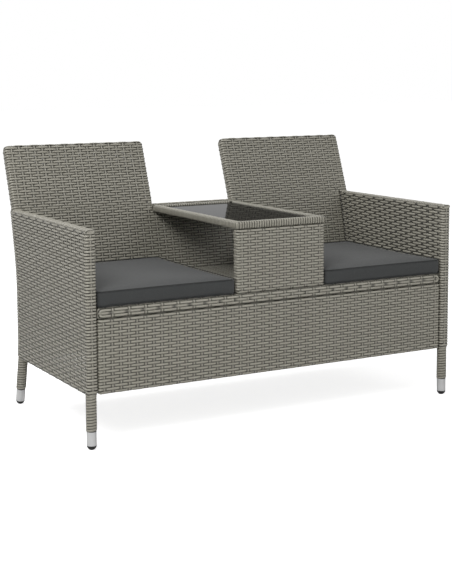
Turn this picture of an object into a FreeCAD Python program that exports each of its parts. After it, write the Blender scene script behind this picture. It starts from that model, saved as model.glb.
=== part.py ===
import FreeCAD, Part
import math
import os
import Sketcher
from FreeCAD import Placement, Rotation, Vector

# Two-seat companion bench with a glass-topped table between the seats.
# X runs along the bench, Y from front to back, Z up. The origin is on the floor, at the middle of the
# bench's box. Depths called v are counted backwards from the centre line of the front posts.

doc = FreeCAD.newDocument("CompanionBench")
sheet = doc.addObject("Spreadsheet::Sheet", "sizes")

DRIVING_SIZES = [
    ("side_spacing", 1298, "between the centre lines of the two side frames"),
    ("arm_height", 654.5, "floor to the top of the woven arm"),
    ("panel_bottom", 163.5, "floor to the lower edge of the woven panels"),
    ("post_spacing", 560, "front post to rear post, centre lines"),
    ("tube_dia", 29, "main frame tube"),
    ("tube_wall", 1.2, "wall of every steel tube"),
    ("slim_dia", 22, "tube of the apron and console frames"),
    ("strand_thick", 1.1, "thickness of the flat woven strand"),
    ("strand_width", 8, "width of the flat woven strand"),
    ("weave_gap", 0.2, "between a tube and the weave round it"),
    ("rail_step", 0.1, "rails welded between the posts and bars are this much slimmer in radius"),
    ("leg_hole_gap", 0.35, "between a leg and the hole it leaves the weave by"),
    ("arm_rake", 12.8, "lean of the rear post under the arm, degrees"),
    ("rake_height", 450.5, "floor to the corner where the rear post starts to lean"),
    ("rake_bend", 600, "bend radius where the rear post starts to lean"),
    ("leg_splay", 13.6, "splay of the rear leg, degrees"),
    ("splay_height", 203.5, "floor to the corner where the rear leg splays"),
    ("splay_bend", 300, "bend radius where the rear leg splays"),
    ("back_rake", 20.5, "lean of the backrests above the arms, degrees"),
    ("back_height", 860.5, "floor to the top of the backrests"),
    ("back_seam", 0.6, "gap between the arm and the backrest that stands on it"),
    ("back_corner", 9, "corner radius of the backrest's core, inside its weave"),
    ("back_inset", 3.5, "from the arm's outer face in to the backrest's edge"),
    ("back_opening", 312, "clear width between the two backrests"),
    ("notch_drop", 6.4, "back's top rail, between the backrests, below the arm rails"),
    ("loop_height", 20, "lower tube of a backrest above the line where the back leans further"),
    ("panel_gap", 3, "between the side panels and the panels bolted to them"),
    ("seat_top", 421.5, "floor to the woven seat"),
    ("seat_setback", 5.5, "front seat rail behind the front posts"),
    ("back_gap", 1, "between the seat's rear edge and the back"),
    ("apron_gap", 0.8, "between the seat and the apron below it"),
    ("console_width", 323, "outer width of the table and of the console panel"),
    ("console_gap", 0.6, "console panel above the seat"),
    ("rim_gap", 1.5, "between the table rim and what it is bolted to"),
    ("table_height", 645.5, "floor to the top of the table rim"),
    ("rim_tube", 20, "square tube of the table rim"),
    ("rim_round", 5, "corner radius of the rim tube"),
    ("mitre_gap", 0.2, "half the gap between two wrapped rim sides, measured along X"),
    ("glass_thick", 5, "thickness of the glass top"),
    ("glass_recess", 5, "rim's top above the glass"),
    ("glass_gap", 2, "between the glass and the rim all round"),
    ("glass_edge", 1, "polished round of the glass edge"),
    ("pad_thick", 1.5, "glass pad, thickness"),
    ("pad_dia", 12, "glass pad"),
    ("tab_reach", 19, "glass tab, out from the rim tube"),
    ("tab_width", 20, "glass tab, along the rim tube"),
    ("tab_thick", 3, "glass tab, thickness"),
    ("tab_slot_gap", 0.4, "between a glass tab and its slot in the wrapping"),
    ("cushion_thick", 48, "edge of the seat cushion"),
    ("cushion_crown", 9, "rise of the cushion's middle over its edge"),
    ("cushion_gap", 1.2, "cushion to the panels beside it"),
    ("cushion_rest", 0.3, "cushion above the seat"),
    ("cushion_front", 4.5, "cushion in front of the seat's front face"),
    ("cushion_back", 2.5, "cushion to the back panel"),
    ("cushion_draw", 5, "how far each side is drawn in between its corners"),
    ("cushion_corner", 16, "corner radius of the cushion in plan"),
    ("cushion_round", 6, "rounding of the cushion's seams"),
    ("cover_thick", 1.2, "cushion cover"),
    ("foam_gap", 0.3, "between cover and foam"),
    ("zip_length", 300, "zip in the cushion's rear side"),
    ("zip_width", 9, "zip, across"),
    ("zip_thick", 1.3, "zip, thickness"),
    ("zip_gap", 0.1, "zip behind the cover"),
    ("dome_size", 14.81, "radius of the foot cap's dome"),
    ("dome_flat", 0.6, "height worn flat under the dome"),
    ("cap_dia", 29.6, "foot cap"),
    ("plug_length", 18, "foot cap's plug inside the sleeve"),
    ("sleeve_length", 41.5, "leg sleeve, the part that shows"),
    ("sleeve_dia", 29.4, "leg sleeve"),
    ("sleeve_bore", 21, "bore of the leg sleeve"),
    ("spigot_length", 25, "leg sleeve's spigot inside the leg"),
    ("slide_fit", 0.2, "play of a spigot or a plug in its bore, on the radius"),
    ("wrap_turns", 11, "turns of the winding on each leg"),
    ("wrap_margin", 1, "leg winding to the sleeve and to the panel"),
    ("seat_bars", 3, "bars under the weave of the seat"),
    ("long_bolt", 50, "bolt through a full-size tube"),
    ("short_bolt", 40, "bolt through a slim tube"),
    ("bolt_dia", 6, "bolt shank"),
    ("head_dia", 10, "bolt head"),
    ("head_height", 3.3, "bolt head, height"),
    ("socket_size", 4, "across the flats of the socket in the head"),
    ("socket_depth", 2, "socket in the head"),
    ("bolt_play", 0.3, "clearance round a bolt, on the radius"),
    ("washer_dia", 12, "washer"),
    ("washer_thick", 1.2, "washer, thickness"),
    ("insert_dia", 9, "threaded insert in a tube wall"),
    ("insert_length", 11, "threaded insert, length"),
    ("insert_sink", 0.9, "insert's end below the tube's outer line"),
    ("insert_fit", 0.05, "insert in its hole and bolt in its insert, on the radius"),
    ("seat_bolt_front", 90, "depth of the front bolt between seat and side panel"),
    ("seat_bolt_rear", 430, "depth of the rear bolt between seat and side panel"),
    ("apron_bolt_height", 262, "floor to the bolt between apron and side panel"),
    ("back_bolt_low", 300, "floor to the lower bolt between back and side panel"),
    ("back_bolt_high", 560, "floor to the upper bolt between back and side panel"),
    ("rear_bolt_x", 306, "bolt between seat and back, from the middle"),
    ("apron_bolt_x", 342, "bolt between apron and seat, from the middle"),
    ("console_bolt_x", 76, "bolts above and below the console panel, from the middle"),
    ("rim_bolt_x", 60, "bolt between table rim and back, from the middle"),
    ("key_hole", 16, "hole in the rear weave for the key of the back bolts"),
    ("sheet_margin", 4, "rail to the edge of a panel's open inner side"),
]

for row, (alias, number, note) in enumerate(DRIVING_SIZES, start=1):
    sheet.set(f"A{row}", note)
    sheet.set(f"B{row}", str(number))
    sheet.setAlias(f"B{row}", alias)
doc.recompute()

# Lines and levels that follow from the driving sizes
layout = doc.addObject("App::VarSet", "layout")

DERIVED_SIZES = [
    ("tube_r", "sizes.tube_dia / 2"),
    ("slim_r", "sizes.slim_dia / 2"),
    ("bore_r", "layout.tube_r - sizes.tube_wall"),
    ("slim_bore_r", "layout.slim_r - sizes.tube_wall"),
    ("weave_cover", "sizes.weave_gap + 2 * sizes.strand_thick"),
    ("wrap_cover", "sizes.weave_gap + sizes.strand_thick"),
    ("skin_r", "layout.tube_r + layout.weave_cover"),
    ("slim_skin_r", "layout.slim_r + layout.weave_cover"),
    ("side_x", "sizes.side_spacing / 2"),
    ("trim_reach", "12 * layout.skin_r"),
    ("arm_z", "sizes.arm_height - layout.skin_r"),
    ("low_z", "sizes.panel_bottom + layout.skin_r"),
    ("seat_z", "sizes.seat_top - layout.skin_r"),
    ("cross_z", "layout.arm_z - 2 * sizes.weave_gap - sizes.notch_drop"),
    ("break_z", "sizes.arm_height + sizes.back_seam"),
    ("top_z", "sizes.back_height - layout.skin_r"),
    ("break_v", "sizes.post_spacing + (layout.break_z - sizes.rake_height) * tan(sizes.arm_rake)"),
    ("top_v", "layout.break_v + (layout.top_z - layout.break_z) * tan(sizes.back_rake)"),
    ("post_y", "-layout.top_v / 2"),
    ("inner_x", "layout.side_x - layout.skin_r - sizes.panel_gap"),
    ("mid_x", "layout.inner_x - layout.skin_r"),
    ("apron_x", "layout.inner_x - layout.slim_skin_r"),
    ("front_face_v", "sizes.seat_setback - layout.skin_r"),
    ("slim_v", "layout.front_face_v + layout.slim_skin_r"),
    ("apron_top_z", "layout.seat_z - layout.skin_r - sizes.apron_gap - layout.slim_skin_r"),
    ("apron_low_z", "sizes.panel_bottom + layout.slim_skin_r"),
    ("seat_rear_v", "sizes.post_spacing - 2 * layout.skin_r - sizes.back_gap"),
    ("console_x", "sizes.console_width / 2 - layout.slim_skin_r"),
    ("console_low_z", "sizes.seat_top + sizes.console_gap + layout.slim_skin_r"),
    ("rim_low_z", "sizes.table_height - sizes.rim_tube - 2 * layout.wrap_cover"),
    ("console_top_z", "layout.rim_low_z - sizes.rim_gap - layout.slim_skin_r"),
    ("rim_x", "sizes.console_width / 2 - layout.wrap_cover"),
    ("rim_front_v", "layout.front_face_v + layout.wrap_cover"),
    (
        "back_face_v",
        "sizes.post_spacing + (layout.rim_low_z - sizes.rake_height) * tan(sizes.arm_rake)"
        " - layout.skin_r / cos(sizes.arm_rake)",
    ),
    ("rim_rear_v", "layout.back_face_v - sizes.rim_gap - layout.wrap_cover"),
    ("rim_tube_z", "layout.rim_low_z + layout.wrap_cover"),
    ("glass_low_z", "sizes.table_height - sizes.glass_recess - sizes.glass_thick"),
    ("tab_top_z", "layout.glass_low_z - sizes.pad_thick"),
    ("loop_top", "(layout.top_z - layout.break_z) / cos(sizes.back_rake)"),
    ("loop_out_x", "layout.side_x - sizes.back_inset"),
    ("loop_in_x", "sizes.back_opening / 2 + layout.skin_r"),
    ("cap_rise", "sqrt(sizes.dome_size^2 - (sizes.cap_dia / 2)^2)"),
    ("dome_z", "sizes.dome_size - sizes.dome_flat"),
    ("sleeve_end", "sizes.sleeve_length - layout.cap_rise"),
    ("foot_v", "sizes.post_spacing + (sizes.splay_height - layout.dome_z) * tan(sizes.leg_splay)"),
]
for name, rule in DERIVED_SIZES:
    layout.addProperty("App::PropertyFloat", name)
    layout.setExpression(name, rule)
    doc.recompute()

AXIS_TURN = {
    "x": Rotation(Vector(0, 1, 0), 90),
    "y": Rotation(Vector(1, 0, 0), -90),
    "z": Rotation(),
}


def value(rule):
    """The number that a rule in names of the sheet and the layout gives now."""
    result = layout.evalExpression(rule)
    return float(getattr(result, "Value", result))


def at(x, v, z):
    return Vector(x, layout.post_y + v, z)


def bind(piece, **rules):
    """Ties a piece's properties to rules; x, y and z are its place, v its depth from the front posts."""
    for name, rule in rules.items():
        if name == "v":
            piece.setExpression("Placement.Base.y", f"layout.post_y + {rule}")
        elif name in ("x", "y", "z"):
            piece.setExpression(f"Placement.Base.{name}", rule)
        else:
            piece.setExpression(name, rule)
    return piece


def rod(label, radius, length, axis, x, v, z):
    piece = doc.addObject("Part::Cylinder", label)
    piece.Placement.Rotation = AXIS_TURN[axis]
    return bind(piece, Radius=radius, Height=length, x=x, v=v, z=z)


def ball(label, radius, x, v, z):
    piece = doc.addObject("Part::Sphere", label)
    return bind(piece, Radius=radius, x=x, v=v, z=z)


def block(label, length, width, height, x, v, z):
    piece = doc.addObject("Part::Box", label)
    return bind(piece, Length=length, Width=width, Height=height, x=x, v=v, z=z)


def fuse(label, pieces):
    piece = doc.addObject("Part::MultiFuse", label)
    piece.Shapes = pieces
    return piece


def cut(label, base, tools):
    piece = doc.addObject("Part::Cut", label)
    piece.Base = base
    piece.Tool = tools[0] if len(tools) == 1 else fuse(label + "_tools", tools)
    return piece


def grow(label, source, amount):
    piece = doc.addObject("Part::Offset", label)
    piece.Source = source
    piece.Join = "Arc"
    return bind(piece, Value=amount)


def fixed(label, shape):
    piece = doc.addObject("Part::Feature", label)
    piece.Shape = shape
    return piece


nodes = {}


def finish(node, piece):
    """Keeps a finished piece under the name of its node."""
    piece.Label = node
    nodes[node] = piece
    return piece


def mirrored(node, source):
    piece = doc.addObject("Part::Mirroring", node + "_mirror")
    piece.Source = source
    piece.Normal = Vector(1, 0, 0)
    return finish(node, piece)


def revolved(label, profile):
    """A body turned about its own upright axis from a profile of (radius, height) rules."""
    body = doc.addObject("PartDesign::Body", label)
    sketch = body.newObject("Sketcher::SketchObject", label + "_profile")
    plane = next(item for item in body.Origin.OriginFeatures if item.Role == "XZ_Plane")
    sketch.AttachmentSupport = [(plane, "")]
    sketch.MapMode = "FlatFace"
    spots = [Vector(value(radius), value(height), 0) for radius, height in profile]
    for start, end in zip(spots, spots[1:] + spots[:1]):
        sketch.addGeometry(Part.LineSegment(start, end), False)
    for line in range(len(spots)):
        following = (line + 1) % len(spots)
        sketch.addConstraint(Sketcher.Constraint("Coincident", line, 2, following, 1))
    for line, rules in enumerate(profile):
        for kind, rule, axis in (("DistanceX", rules[0], -2), ("DistanceY", rules[1], -1)):
            if rule == "0":
                sketch.addConstraint(Sketcher.Constraint("PointOnObject", line, 1, axis))
            else:
                number = sketch.addConstraint(Sketcher.Constraint(kind, -1, 1, line, 1, value(rule)))
                sketch.setExpression(f"Constraints[{number}]", rule)
    turned = body.newObject("PartDesign::Revolution", label + "_turned")
    turned.Profile = sketch
    turned.ReferenceAxis = (sketch, ["V_Axis"])
    turned.Angle = 360
    return body


# The bent line of the rear post: splayed leg, upright, then raked. It carries the back as well.
splay = math.radians(sheet.leg_splay)
rake = math.radians(sheet.arm_rake)
splay_reach = sheet.splay_bend * math.tan(splay / 2)
rake_reach = sheet.rake_bend * math.tan(rake / 2)
POST_LEVELS = [
    0,
    sheet.splay_height - splay_reach * math.cos(splay),
    sheet.splay_height + splay_reach,
    sheet.rake_height - rake_reach,
    sheet.rake_height + rake_reach * math.cos(rake),
    sheet.back_height,
]


def post_v(z):
    """Depth of the rear post's centre line at a height."""
    if z < POST_LEVELS[1]:
        return sheet.post_spacing + (sheet.splay_height - z) * math.tan(splay)
    if z < POST_LEVELS[2]:
        drop = POST_LEVELS[2] - z
        return sheet.post_spacing + sheet.splay_bend - math.sqrt(sheet.splay_bend**2 - drop**2)
    if z < POST_LEVELS[3]:
        return sheet.post_spacing
    if z < POST_LEVELS[4]:
        rise = z - POST_LEVELS[3]
        return sheet.post_spacing + sheet.rake_bend - math.sqrt(sheet.rake_bend**2 - rise**2)
    return sheet.post_spacing + (z - sheet.rake_height) * math.tan(rake)


def post_line(low, high, x=0.0, shift=0.0):
    """Edges of the rear post's line between two heights, upwards, moved back by shift."""
    edges = []
    for number in range(len(POST_LEVELS) - 1):
        start = max(low, POST_LEVELS[number])
        end = min(high, POST_LEVELS[number + 1])
        if start < end:
            spots = [at(x, post_v(z) + shift, z) for z in (start, (start + end) / 2, end)]
            if number in (1, 3):
                edges.append(Part.Arc(*spots).toShape())
            else:
                edges.append(Part.makeLine(spots[0], spots[2]))
    return edges


def bent_rod(label, radius, low, high, x):
    """A round bar along the rear post's line."""
    line = Part.Wire(post_line(low, high, x))
    start = line.Edges[0].valueAt(line.Edges[0].FirstParameter)
    heading = line.Edges[0].tangentAt(line.Edges[0].FirstParameter)
    ring = Part.Wire(Part.makeCircle(radius, start, heading))
    return fixed(label, line.makePipeShell([ring], True, False))


# Bolts on the right-hand side: the point on the tube that the washer sits on, the way the bolt runs,
# how far on its insert starts, and its length. The left-hand side has the same ones mirrored.
apron_bolt_v = (layout.slim_v + sheet.seat_setback) / 2
sink = sheet.insert_sink
side_run = layout.side_x - layout.mid_x + sink
slim_side_run = layout.side_x - layout.apron_x + layout.slim_r - layout.tube_r + sink
slim_seat_run = 2 * layout.slim_r + layout.weave_cover * 2 + sink
rim_bolt_z = layout.rim_tube_z + sheet.rim_tube / 2
rim_bolt_v = post_v(layout.cross_z) + layout.tube_r
RIGHT, UP, DOWN = Vector(1, 0, 0), Vector(0, 0, 1), Vector(0, 0, -1)
BACK, FORTH = Vector(0, 1, 0), Vector(0, -1, 0)
inner_rail_x = layout.mid_x - layout.tube_r
console_v = (layout.slim_v + layout.rim_front_v + sheet.rim_tube / 2) / 2
BOLTS = []
for depth in (sheet.seat_bolt_front, sheet.seat_bolt_rear):
    BOLTS.append((at(inner_rail_x, depth, layout.seat_z), RIGHT, side_run, "long"))
for height in (sheet.back_bolt_low, sheet.back_bolt_high):
    BOLTS.append((at(inner_rail_x, post_v(height), height), RIGHT, side_run, "long"))
BOLTS += [
    (
        at(sheet.rear_bolt_x, layout.seat_rear_v - layout.tube_r, layout.seat_z),
        BACK,
        post_v(layout.seat_z) - layout.seat_rear_v + sink,
        "long",
    ),
    (
        at(layout.apron_x - layout.slim_r, layout.slim_v, sheet.apron_bolt_height),
        RIGHT,
        slim_side_run,
        "short",
    ),
    (
        at(sheet.apron_bolt_x, apron_bolt_v, layout.apron_top_z - layout.slim_r),
        UP,
        slim_seat_run + sheet.apron_gap,
        "short",
    ),
    (
        at(sheet.console_bolt_x, apron_bolt_v, layout.console_low_z + layout.slim_r),
        DOWN,
        slim_seat_run + sheet.console_gap,
        "short",
    ),
    (
        at(sheet.console_bolt_x, console_v, layout.console_top_z - layout.slim_r),
        UP,
        2 * layout.slim_r + layout.weave_cover + sheet.rim_gap + layout.wrap_cover + sink,
        "short",
    ),
    (
        at(sheet.rim_bolt_x, rim_bolt_v, rim_bolt_z),
        FORTH,
        rim_bolt_v - layout.rim_rear_v + sink,
        "long",
    ),
]


def both_sides(bolts):
    """The bolts of the right-hand side and their mirror images."""
    rows = []
    for seat, way, run, kind in bolts:
        rows.append((seat, way, run, kind))
        rows.append((Vector(-seat.x, seat.y, seat.z), Vector(-way.x, way.y, way.z), run, kind))
    return rows


def ways(radius, start, end, bolts):
    """Round bars along the bolts, from start to end as functions of the distance to the insert."""
    bars = []
    for seat, way, run, _ in bolts:
        low, high = start(run), end(run)
        bars.append(Part.makeCylinder(radius, high - low, seat + way * low, way))
    return Part.makeCompound(bars)


head_room = sheet.washer_thick + sheet.head_height
all_bolts = both_sides(BOLTS)
bolt_ways = fixed(
    "bolt_ways",
    ways(sheet.bolt_dia / 2 + sheet.bolt_play, lambda run: -sink, lambda run: run, all_bolts),
)
insert_ways = fixed(
    "insert_ways",
    ways(
        sheet.insert_dia / 2 + sheet.insert_fit,
        lambda run: run - sink - sheet.weave_gap,
        lambda run: run + sheet.insert_length,
        all_bolts,
    ),
)
frame_ways = fuse("frame_ways", [bolt_ways, insert_ways])
weave_ways = fixed(
    "weave_ways",
    ways(sheet.insert_dia / 2 + sheet.bolt_play, lambda run: 1, lambda run: run + 1, all_bolts),
)


def tube_runs(label, radius, runs, corners, rails):
    """Straight tubes, the balls that fill their corners, and the slimmer rails welded between them."""
    pieces = [rod(f"{label}_run{number}", radius, *run) for number, run in enumerate(runs)]
    pieces += [ball(f"{label}_corner{number}", radius, *spot) for number, spot in enumerate(corners)]
    rail_r = f"{radius} - sizes.rail_step"
    pieces += [rod(f"{label}_rail{number}", rail_r, *run) for number, run in enumerate(rails)]
    return pieces


def welded(node, runs, corners, size, rails=(), bent=(), extra=()):
    """A welded frame: the fused bars less the fused bores, with its bolt holes."""
    bore_rule = "layout.slim_bore_r" if size == "slim" else "layout.bore_r"
    outer = tube_runs(node + "_outer", f"layout.{size}_r", runs, corners, rails)
    inner = tube_runs(node + "_inner", bore_rule, runs, corners, rails)
    for number, (low, high, x) in enumerate(bent):
        outer.append(bent_rod(f"{node}_bent{number}", layout.tube_r, low, high, x))
        inner.append(bent_rod(f"{node}_bent_bore{number}", layout.bore_r, low, high, x))
    bars = fuse(node + "_bars", outer)
    bores = fuse(node + "_bores", inner)
    for number, (outer_extra, inner_extra) in enumerate(extra):
        bars = fuse(f"{node}_bars_and{number}", [bars, outer_extra])
        bores = fuse(f"{node}_bores_and{number}", [bores, inner_extra])
    bored = cut(node + "_bored", bars, [bores])
    return finish(node, cut(node + "_drilled", bored, [frame_ways]))


CORE_HALF = 0.1


def skin(label, core, size):
    """The woven cover round a frame: a thin core grown to the outside, less the core grown to the tubes."""
    outer = grow(label + "_outer", core, f"layout.{size}_r + layout.weave_cover - {CORE_HALF}")
    inner = grow(label + "_inner", core, f"layout.{size}_r + sizes.weave_gap - {CORE_HALF}")
    return cut(label + "_hollow", outer, [inner])


def plate(label, outline, direction):
    """A thin plate, as thick as two core halves, from a closed outline."""
    face = Part.Face(Part.Wire(outline))
    face.translate(direction * -CORE_HALF)
    return fixed(label, face.extrude(direction * (2 * CORE_HALF)))


def loop(spots):
    """Straight edges round a list of points."""
    return [Part.makeLine(start, end) for start, end in zip(spots, spots[1:] + spots[:1])]


# Side panels: front post, arm, bent rear post, two rails, and two legs below the weave
def side_panel():
    x = "layout.side_x"
    arm_depth = str(post_v(layout.arm_z))
    low_depth = str(post_v(layout.low_z))
    leg_end = "layout.dome_z + layout.sleeve_end"
    runs = [
        ("layout.arm_z - layout.dome_z - layout.sleeve_end", "z", x, "0", leg_end),
        (arm_depth, "y", x, "0", "layout.arm_z"),
    ]
    rails = [
        ("sizes.post_spacing", "y", x, "0", "layout.seat_z"),
        (low_depth, "y", x, "0", "layout.low_z"),
    ]
    corners = [(x, "0", "layout.arm_z"), (x, arm_depth, "layout.arm_z")]
    rear_leg_end = layout.dome_z + layout.sleeve_end * math.cos(splay)
    rear_post = (rear_leg_end, layout.arm_z, layout.side_x)
    welded("arm_frame_right", runs, corners, "tube", rails, bent=[rear_post])

    outline = [
        Part.makeLine(at(0, 0, layout.low_z), at(0, post_v(layout.low_z), layout.low_z)),
        *post_line(layout.low_z, layout.arm_z),
        Part.makeLine(at(0, post_v(layout.arm_z), layout.arm_z), at(0, 0, layout.arm_z)),
        Part.makeLine(at(0, 0, layout.arm_z), at(0, 0, layout.low_z)),
    ]
    core = bind(plate("arm_core", outline, Vector(1, 0, 0)), x=x)
    hole_rule = "layout.tube_r + sizes.leg_hole_gap"
    leg_holes = [
        rod("front_leg_hole", hole_rule, "layout.low_z", "z", x, "0", "0"),
        bent_rod("rear_leg_hole", value(hole_rule), 1, layout.low_z, layout.side_x),
    ]
    hollow = skin("arm_skin", core, "tube")
    finish("arm_weave_right", cut("arm_skin_drilled", hollow, leg_holes + [weave_ways]))
    mirrored("arm_frame_left", nodes["arm_frame_right"])
    mirrored("arm_weave_left", nodes["arm_weave_right"])


side_panel()


# Legs below the panels. Each is set out along its own leg, upwards from the centre of the cap's dome.
def arc_from(start, heading, end):
    """The arc that leaves start along heading and reaches end."""
    chord = end - start
    normal = heading.cross(chord)
    normal.normalize()
    inward = normal.cross(heading)
    radius = chord.dot(chord) / (2 * chord.dot(inward))
    centre = start + inward * radius
    outward = (start + end) * 0.5 - centre
    outward.normalize()
    return Part.Arc(start, centre + outward * abs(radius), end).toShape()


def biarc(start, start_heading, end, end_heading):
    """Two arcs that join two points with given headings."""
    chord = end - start
    total = start_heading + end_heading
    spread = 2 * (1 - start_heading.dot(end_heading))
    reach = (-chord.dot(total) + math.sqrt(chord.dot(total) ** 2 + spread * chord.dot(chord))) / spread
    middle = (start + end + (start_heading - end_heading) * reach) * 0.5
    heading = middle - (start + start_heading * reach)
    heading.normalize()
    return [arc_from(start, start_heading, middle), arc_from(middle, heading, end)]


def winding(label, low, high):
    """One flat strand wound round a leg between two heights along the leg."""
    radius = layout.tube_r + sheet.weave_gap + sheet.strand_thick / 2
    turns = int(sheet.wrap_turns)
    pitch = (high - low - sheet.strand_width) / turns
    climb = pitch / (2 * math.pi)
    start_z = low + sheet.strand_width / 2

    def spot(angle):
        return Vector(radius * math.cos(angle), radius * math.sin(angle), start_z + climb * angle)

    def heading(angle):
        return Vector(-radius * math.sin(angle), radius * math.cos(angle), climb).normalize()

    edges = []
    for half in range(2 * turns):
        start, end = half * math.pi, (half + 1) * math.pi
        edges += biarc(spot(start), heading(start), spot(end), heading(end))
    across = Vector(1, 0, 0)
    along = heading(0).cross(across)
    half_thick, half_wide = sheet.strand_thick / 2, sheet.strand_width / 2
    corners = [
        spot(0) + across * half_thick * side + along * half_wide * end
        for side, end in ((-1, -1), (1, -1), (1, 1), (-1, 1))
    ]
    shell = Part.BRepOffsetAPI.MakePipeShell(Part.Wire(edges))
    shell.setBiNormalMode(Vector(0, 0, 1))
    shell.add(Part.makePolygon(corners + corners[:1]))
    shell.build()
    shell.makeSolid()
    steps = 24
    path = [spot(2 * math.pi * step / steps) for step in range(steps * turns + 1)]
    nearest = min(
        (path[one] - path[other]).Length
        for one in range(len(path))
        for other in range(one + steps // 2, len(path))
    )
    print(f"{label}: pitch {pitch:.2f} mm, gap between turns {nearest - sheet.strand_width:.2f} mm")
    return fixed(label, shell.shape())


def leg(position, foot_v, lean):
    """Foot cap, sleeve and winding of one leg, and their mirror images."""
    place = Placement(at(layout.side_x, foot_v, layout.dome_z), Rotation(Vector(1, 0, 0), lean))
    dome = doc.addObject("Part::Sphere", f"{position}_dome")
    dome.Angle1 = -90
    bind(dome, Radius="sizes.dome_size", Angle2="-asin(layout.cap_rise / sizes.dome_size)")
    plug = doc.addObject("Part::Cylinder", f"{position}_plug")
    plug_r = "sizes.sleeve_bore / 2 - sizes.slide_fit"
    bind(plug, Radius=plug_r, Height="sizes.plug_length + 1", z="-layout.cap_rise - 1")
    whole_cap = fuse(f"{position}_cap_whole", [dome, plug])
    whole_cap.Placement = place
    reach = "2 * sizes.cap_dia"
    floor = block(
        f"{position}_floor",
        f"2 * {reach}",
        f"2 * {reach}",
        reach,
        f"layout.side_x - {reach}",
        f"{foot_v} - {reach}",
        f"-{reach}",
    )
    finish(f"foot_cap_{position}_right", cut(f"{position}_cap", whole_cap, [floor]))

    bore = "sizes.sleeve_bore / 2"
    spigot = "layout.bore_r - sizes.slide_fit"
    spigot_top = "layout.sleeve_end + sizes.spigot_length"
    sleeve = revolved(
        f"{position}_sleeve",
        [
            (bore, "-layout.cap_rise"),
            ("sizes.sleeve_dia / 2", "-layout.cap_rise"),
            ("sizes.sleeve_dia / 2", "layout.sleeve_end"),
            (spigot, "layout.sleeve_end"),
            (spigot, spigot_top),
            (bore, spigot_top),
        ],
    )
    sleeve.Placement = place
    finish(f"leg_sleeve_{position}_right", sleeve)

    leg_length = (layout.low_z - layout.dome_z) / math.cos(math.radians(lean))
    low = layout.sleeve_end + sheet.wrap_margin
    high = leg_length - layout.skin_r - sheet.wrap_margin
    wrap = winding(f"{position}_winding", low, high)
    wrap.Placement = place
    finish(f"leg_wrap_{position}_right", wrap)
    for piece in ("foot_cap", "leg_sleeve", "leg_wrap"):
        mirrored(f"{piece}_{position}_left", nodes[f"{piece}_{position}_right"])


leg("front", 0, 0)
leg("rear", layout.foot_v, sheet.leg_splay)


# Seat, apron and console: flat panels on a welded rectangle
def panel(name, size, x, fixed_level, levels, flat, bars=()):
    """A welded rectangle with its middle on X = 0 and the woven cover round it."""
    low, high = levels
    runs, corners = [], []
    for level in levels:
        v, z = (level, fixed_level) if flat else (fixed_level, level)
        runs.append((f"2 * {x}", "x", f"-{x}", v, z))
        corners += [(f"-{x}", v, z), (x, v, z)]
    v, z = (low, fixed_level) if flat else (fixed_level, low)
    length, way = f"{high} - {low}", "y" if flat else "z"
    runs += [(length, way, side, v, z) for side in (f"-{x}", x)]
    rails = [(length, way, spot, v, z) for spot in bars]
    welded(f"{name}_frame", runs, corners, size, rails)

    half = str(CORE_HALF)
    if flat:
        core = block(
            f"{name}_core",
            f"2 * {x}",
            f"{high} - {low}",
            f"2 * {half}",
            f"-{x}",
            low,
            f"{fixed_level} - {half}",
        )
    else:
        core = block(
            f"{name}_core",
            f"2 * {x}",
            f"2 * {half}",
            f"{high} - {low}",
            f"-{x}",
            f"{fixed_level} - {half}",
            low,
        )
    hollow = skin(f"{name}_skin", core, size)
    skin_r = "layout.slim_skin_r" if size == "slim" else "layout.skin_r"
    edge = f"({skin_r} + sizes.sheet_margin)"
    inside = (f"2 * ({x} - {edge})", f"{high} - {low} - 2 * {edge}", f"2 * {skin_r}")
    if flat:
        open_side = block(
            f"{name}_open_side",
            inside[0],
            inside[1],
            inside[2],
            f"{edge} - {x}",
            f"{low} + {edge}",
            f"{fixed_level} - 2 * {skin_r}",
        )
    else:
        open_side = block(
            f"{name}_open_side",
            inside[0],
            inside[2],
            inside[1],
            f"{edge} - {x}",
            fixed_level,
            f"{low} + {edge}",
        )
    finish(f"{name}_weave", cut(f"{name}_skin_drilled", hollow, [open_side, weave_ways]))


seat_bars = int(sheet.seat_bars)
bar_spots = [f"layout.mid_x * {2 * number / (seat_bars + 1) - 1}" for number in range(1, seat_bars + 1)]
panel(
    "seat",
    "tube",
    "layout.mid_x",
    "layout.seat_z",
    ("sizes.seat_setback", "layout.seat_rear_v"),
    flat=True,
    bars=bar_spots,
)
panel(
    "apron",
    "slim",
    "layout.apron_x",
    "layout.slim_v",
    ("layout.apron_low_z", "layout.apron_top_z"),
    flat=False,
)
panel(
    "console",
    "slim",
    "layout.console_x",
    "layout.slim_v",
    ("layout.console_low_z", "layout.console_top_z"),
    flat=False,
)


# Back: two bent uprights, three rails, and a raked loop above each seat
def tilted(label, pieces):
    """Pieces set out on the slope of the backrests, moved to the line where the back leans further."""
    group = fuse(label, pieces)
    slope = Rotation(Vector(1, 0, 0), -sheet.back_rake)
    group.Placement = Placement(at(0, layout.break_v, layout.break_z), slope)
    return group


def slope_rod(label, radius, length, axis, x, rise):
    piece = doc.addObject("Part::Cylinder", label)
    piece.Placement.Rotation = AXIS_TURN[axis]
    return bind(piece, Radius=radius, Height=length, x=x, z=rise)


def bend_rods(label, radius, outline):
    """Bars along a bend, with balls where they meet; the points are on the slope of the backrests."""
    pieces = []
    for number, (start, end) in enumerate(zip(outline, outline[1:])):
        way = end - start
        pieces.append(fixed(f"{label}_bar{number}", Part.makeCylinder(radius, way.Length, start, way)))
    for number, spot in enumerate(outline):
        pieces.append(fixed(f"{label}_ball{number}", Part.makeSphere(radius, spot)))
    return pieces


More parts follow.
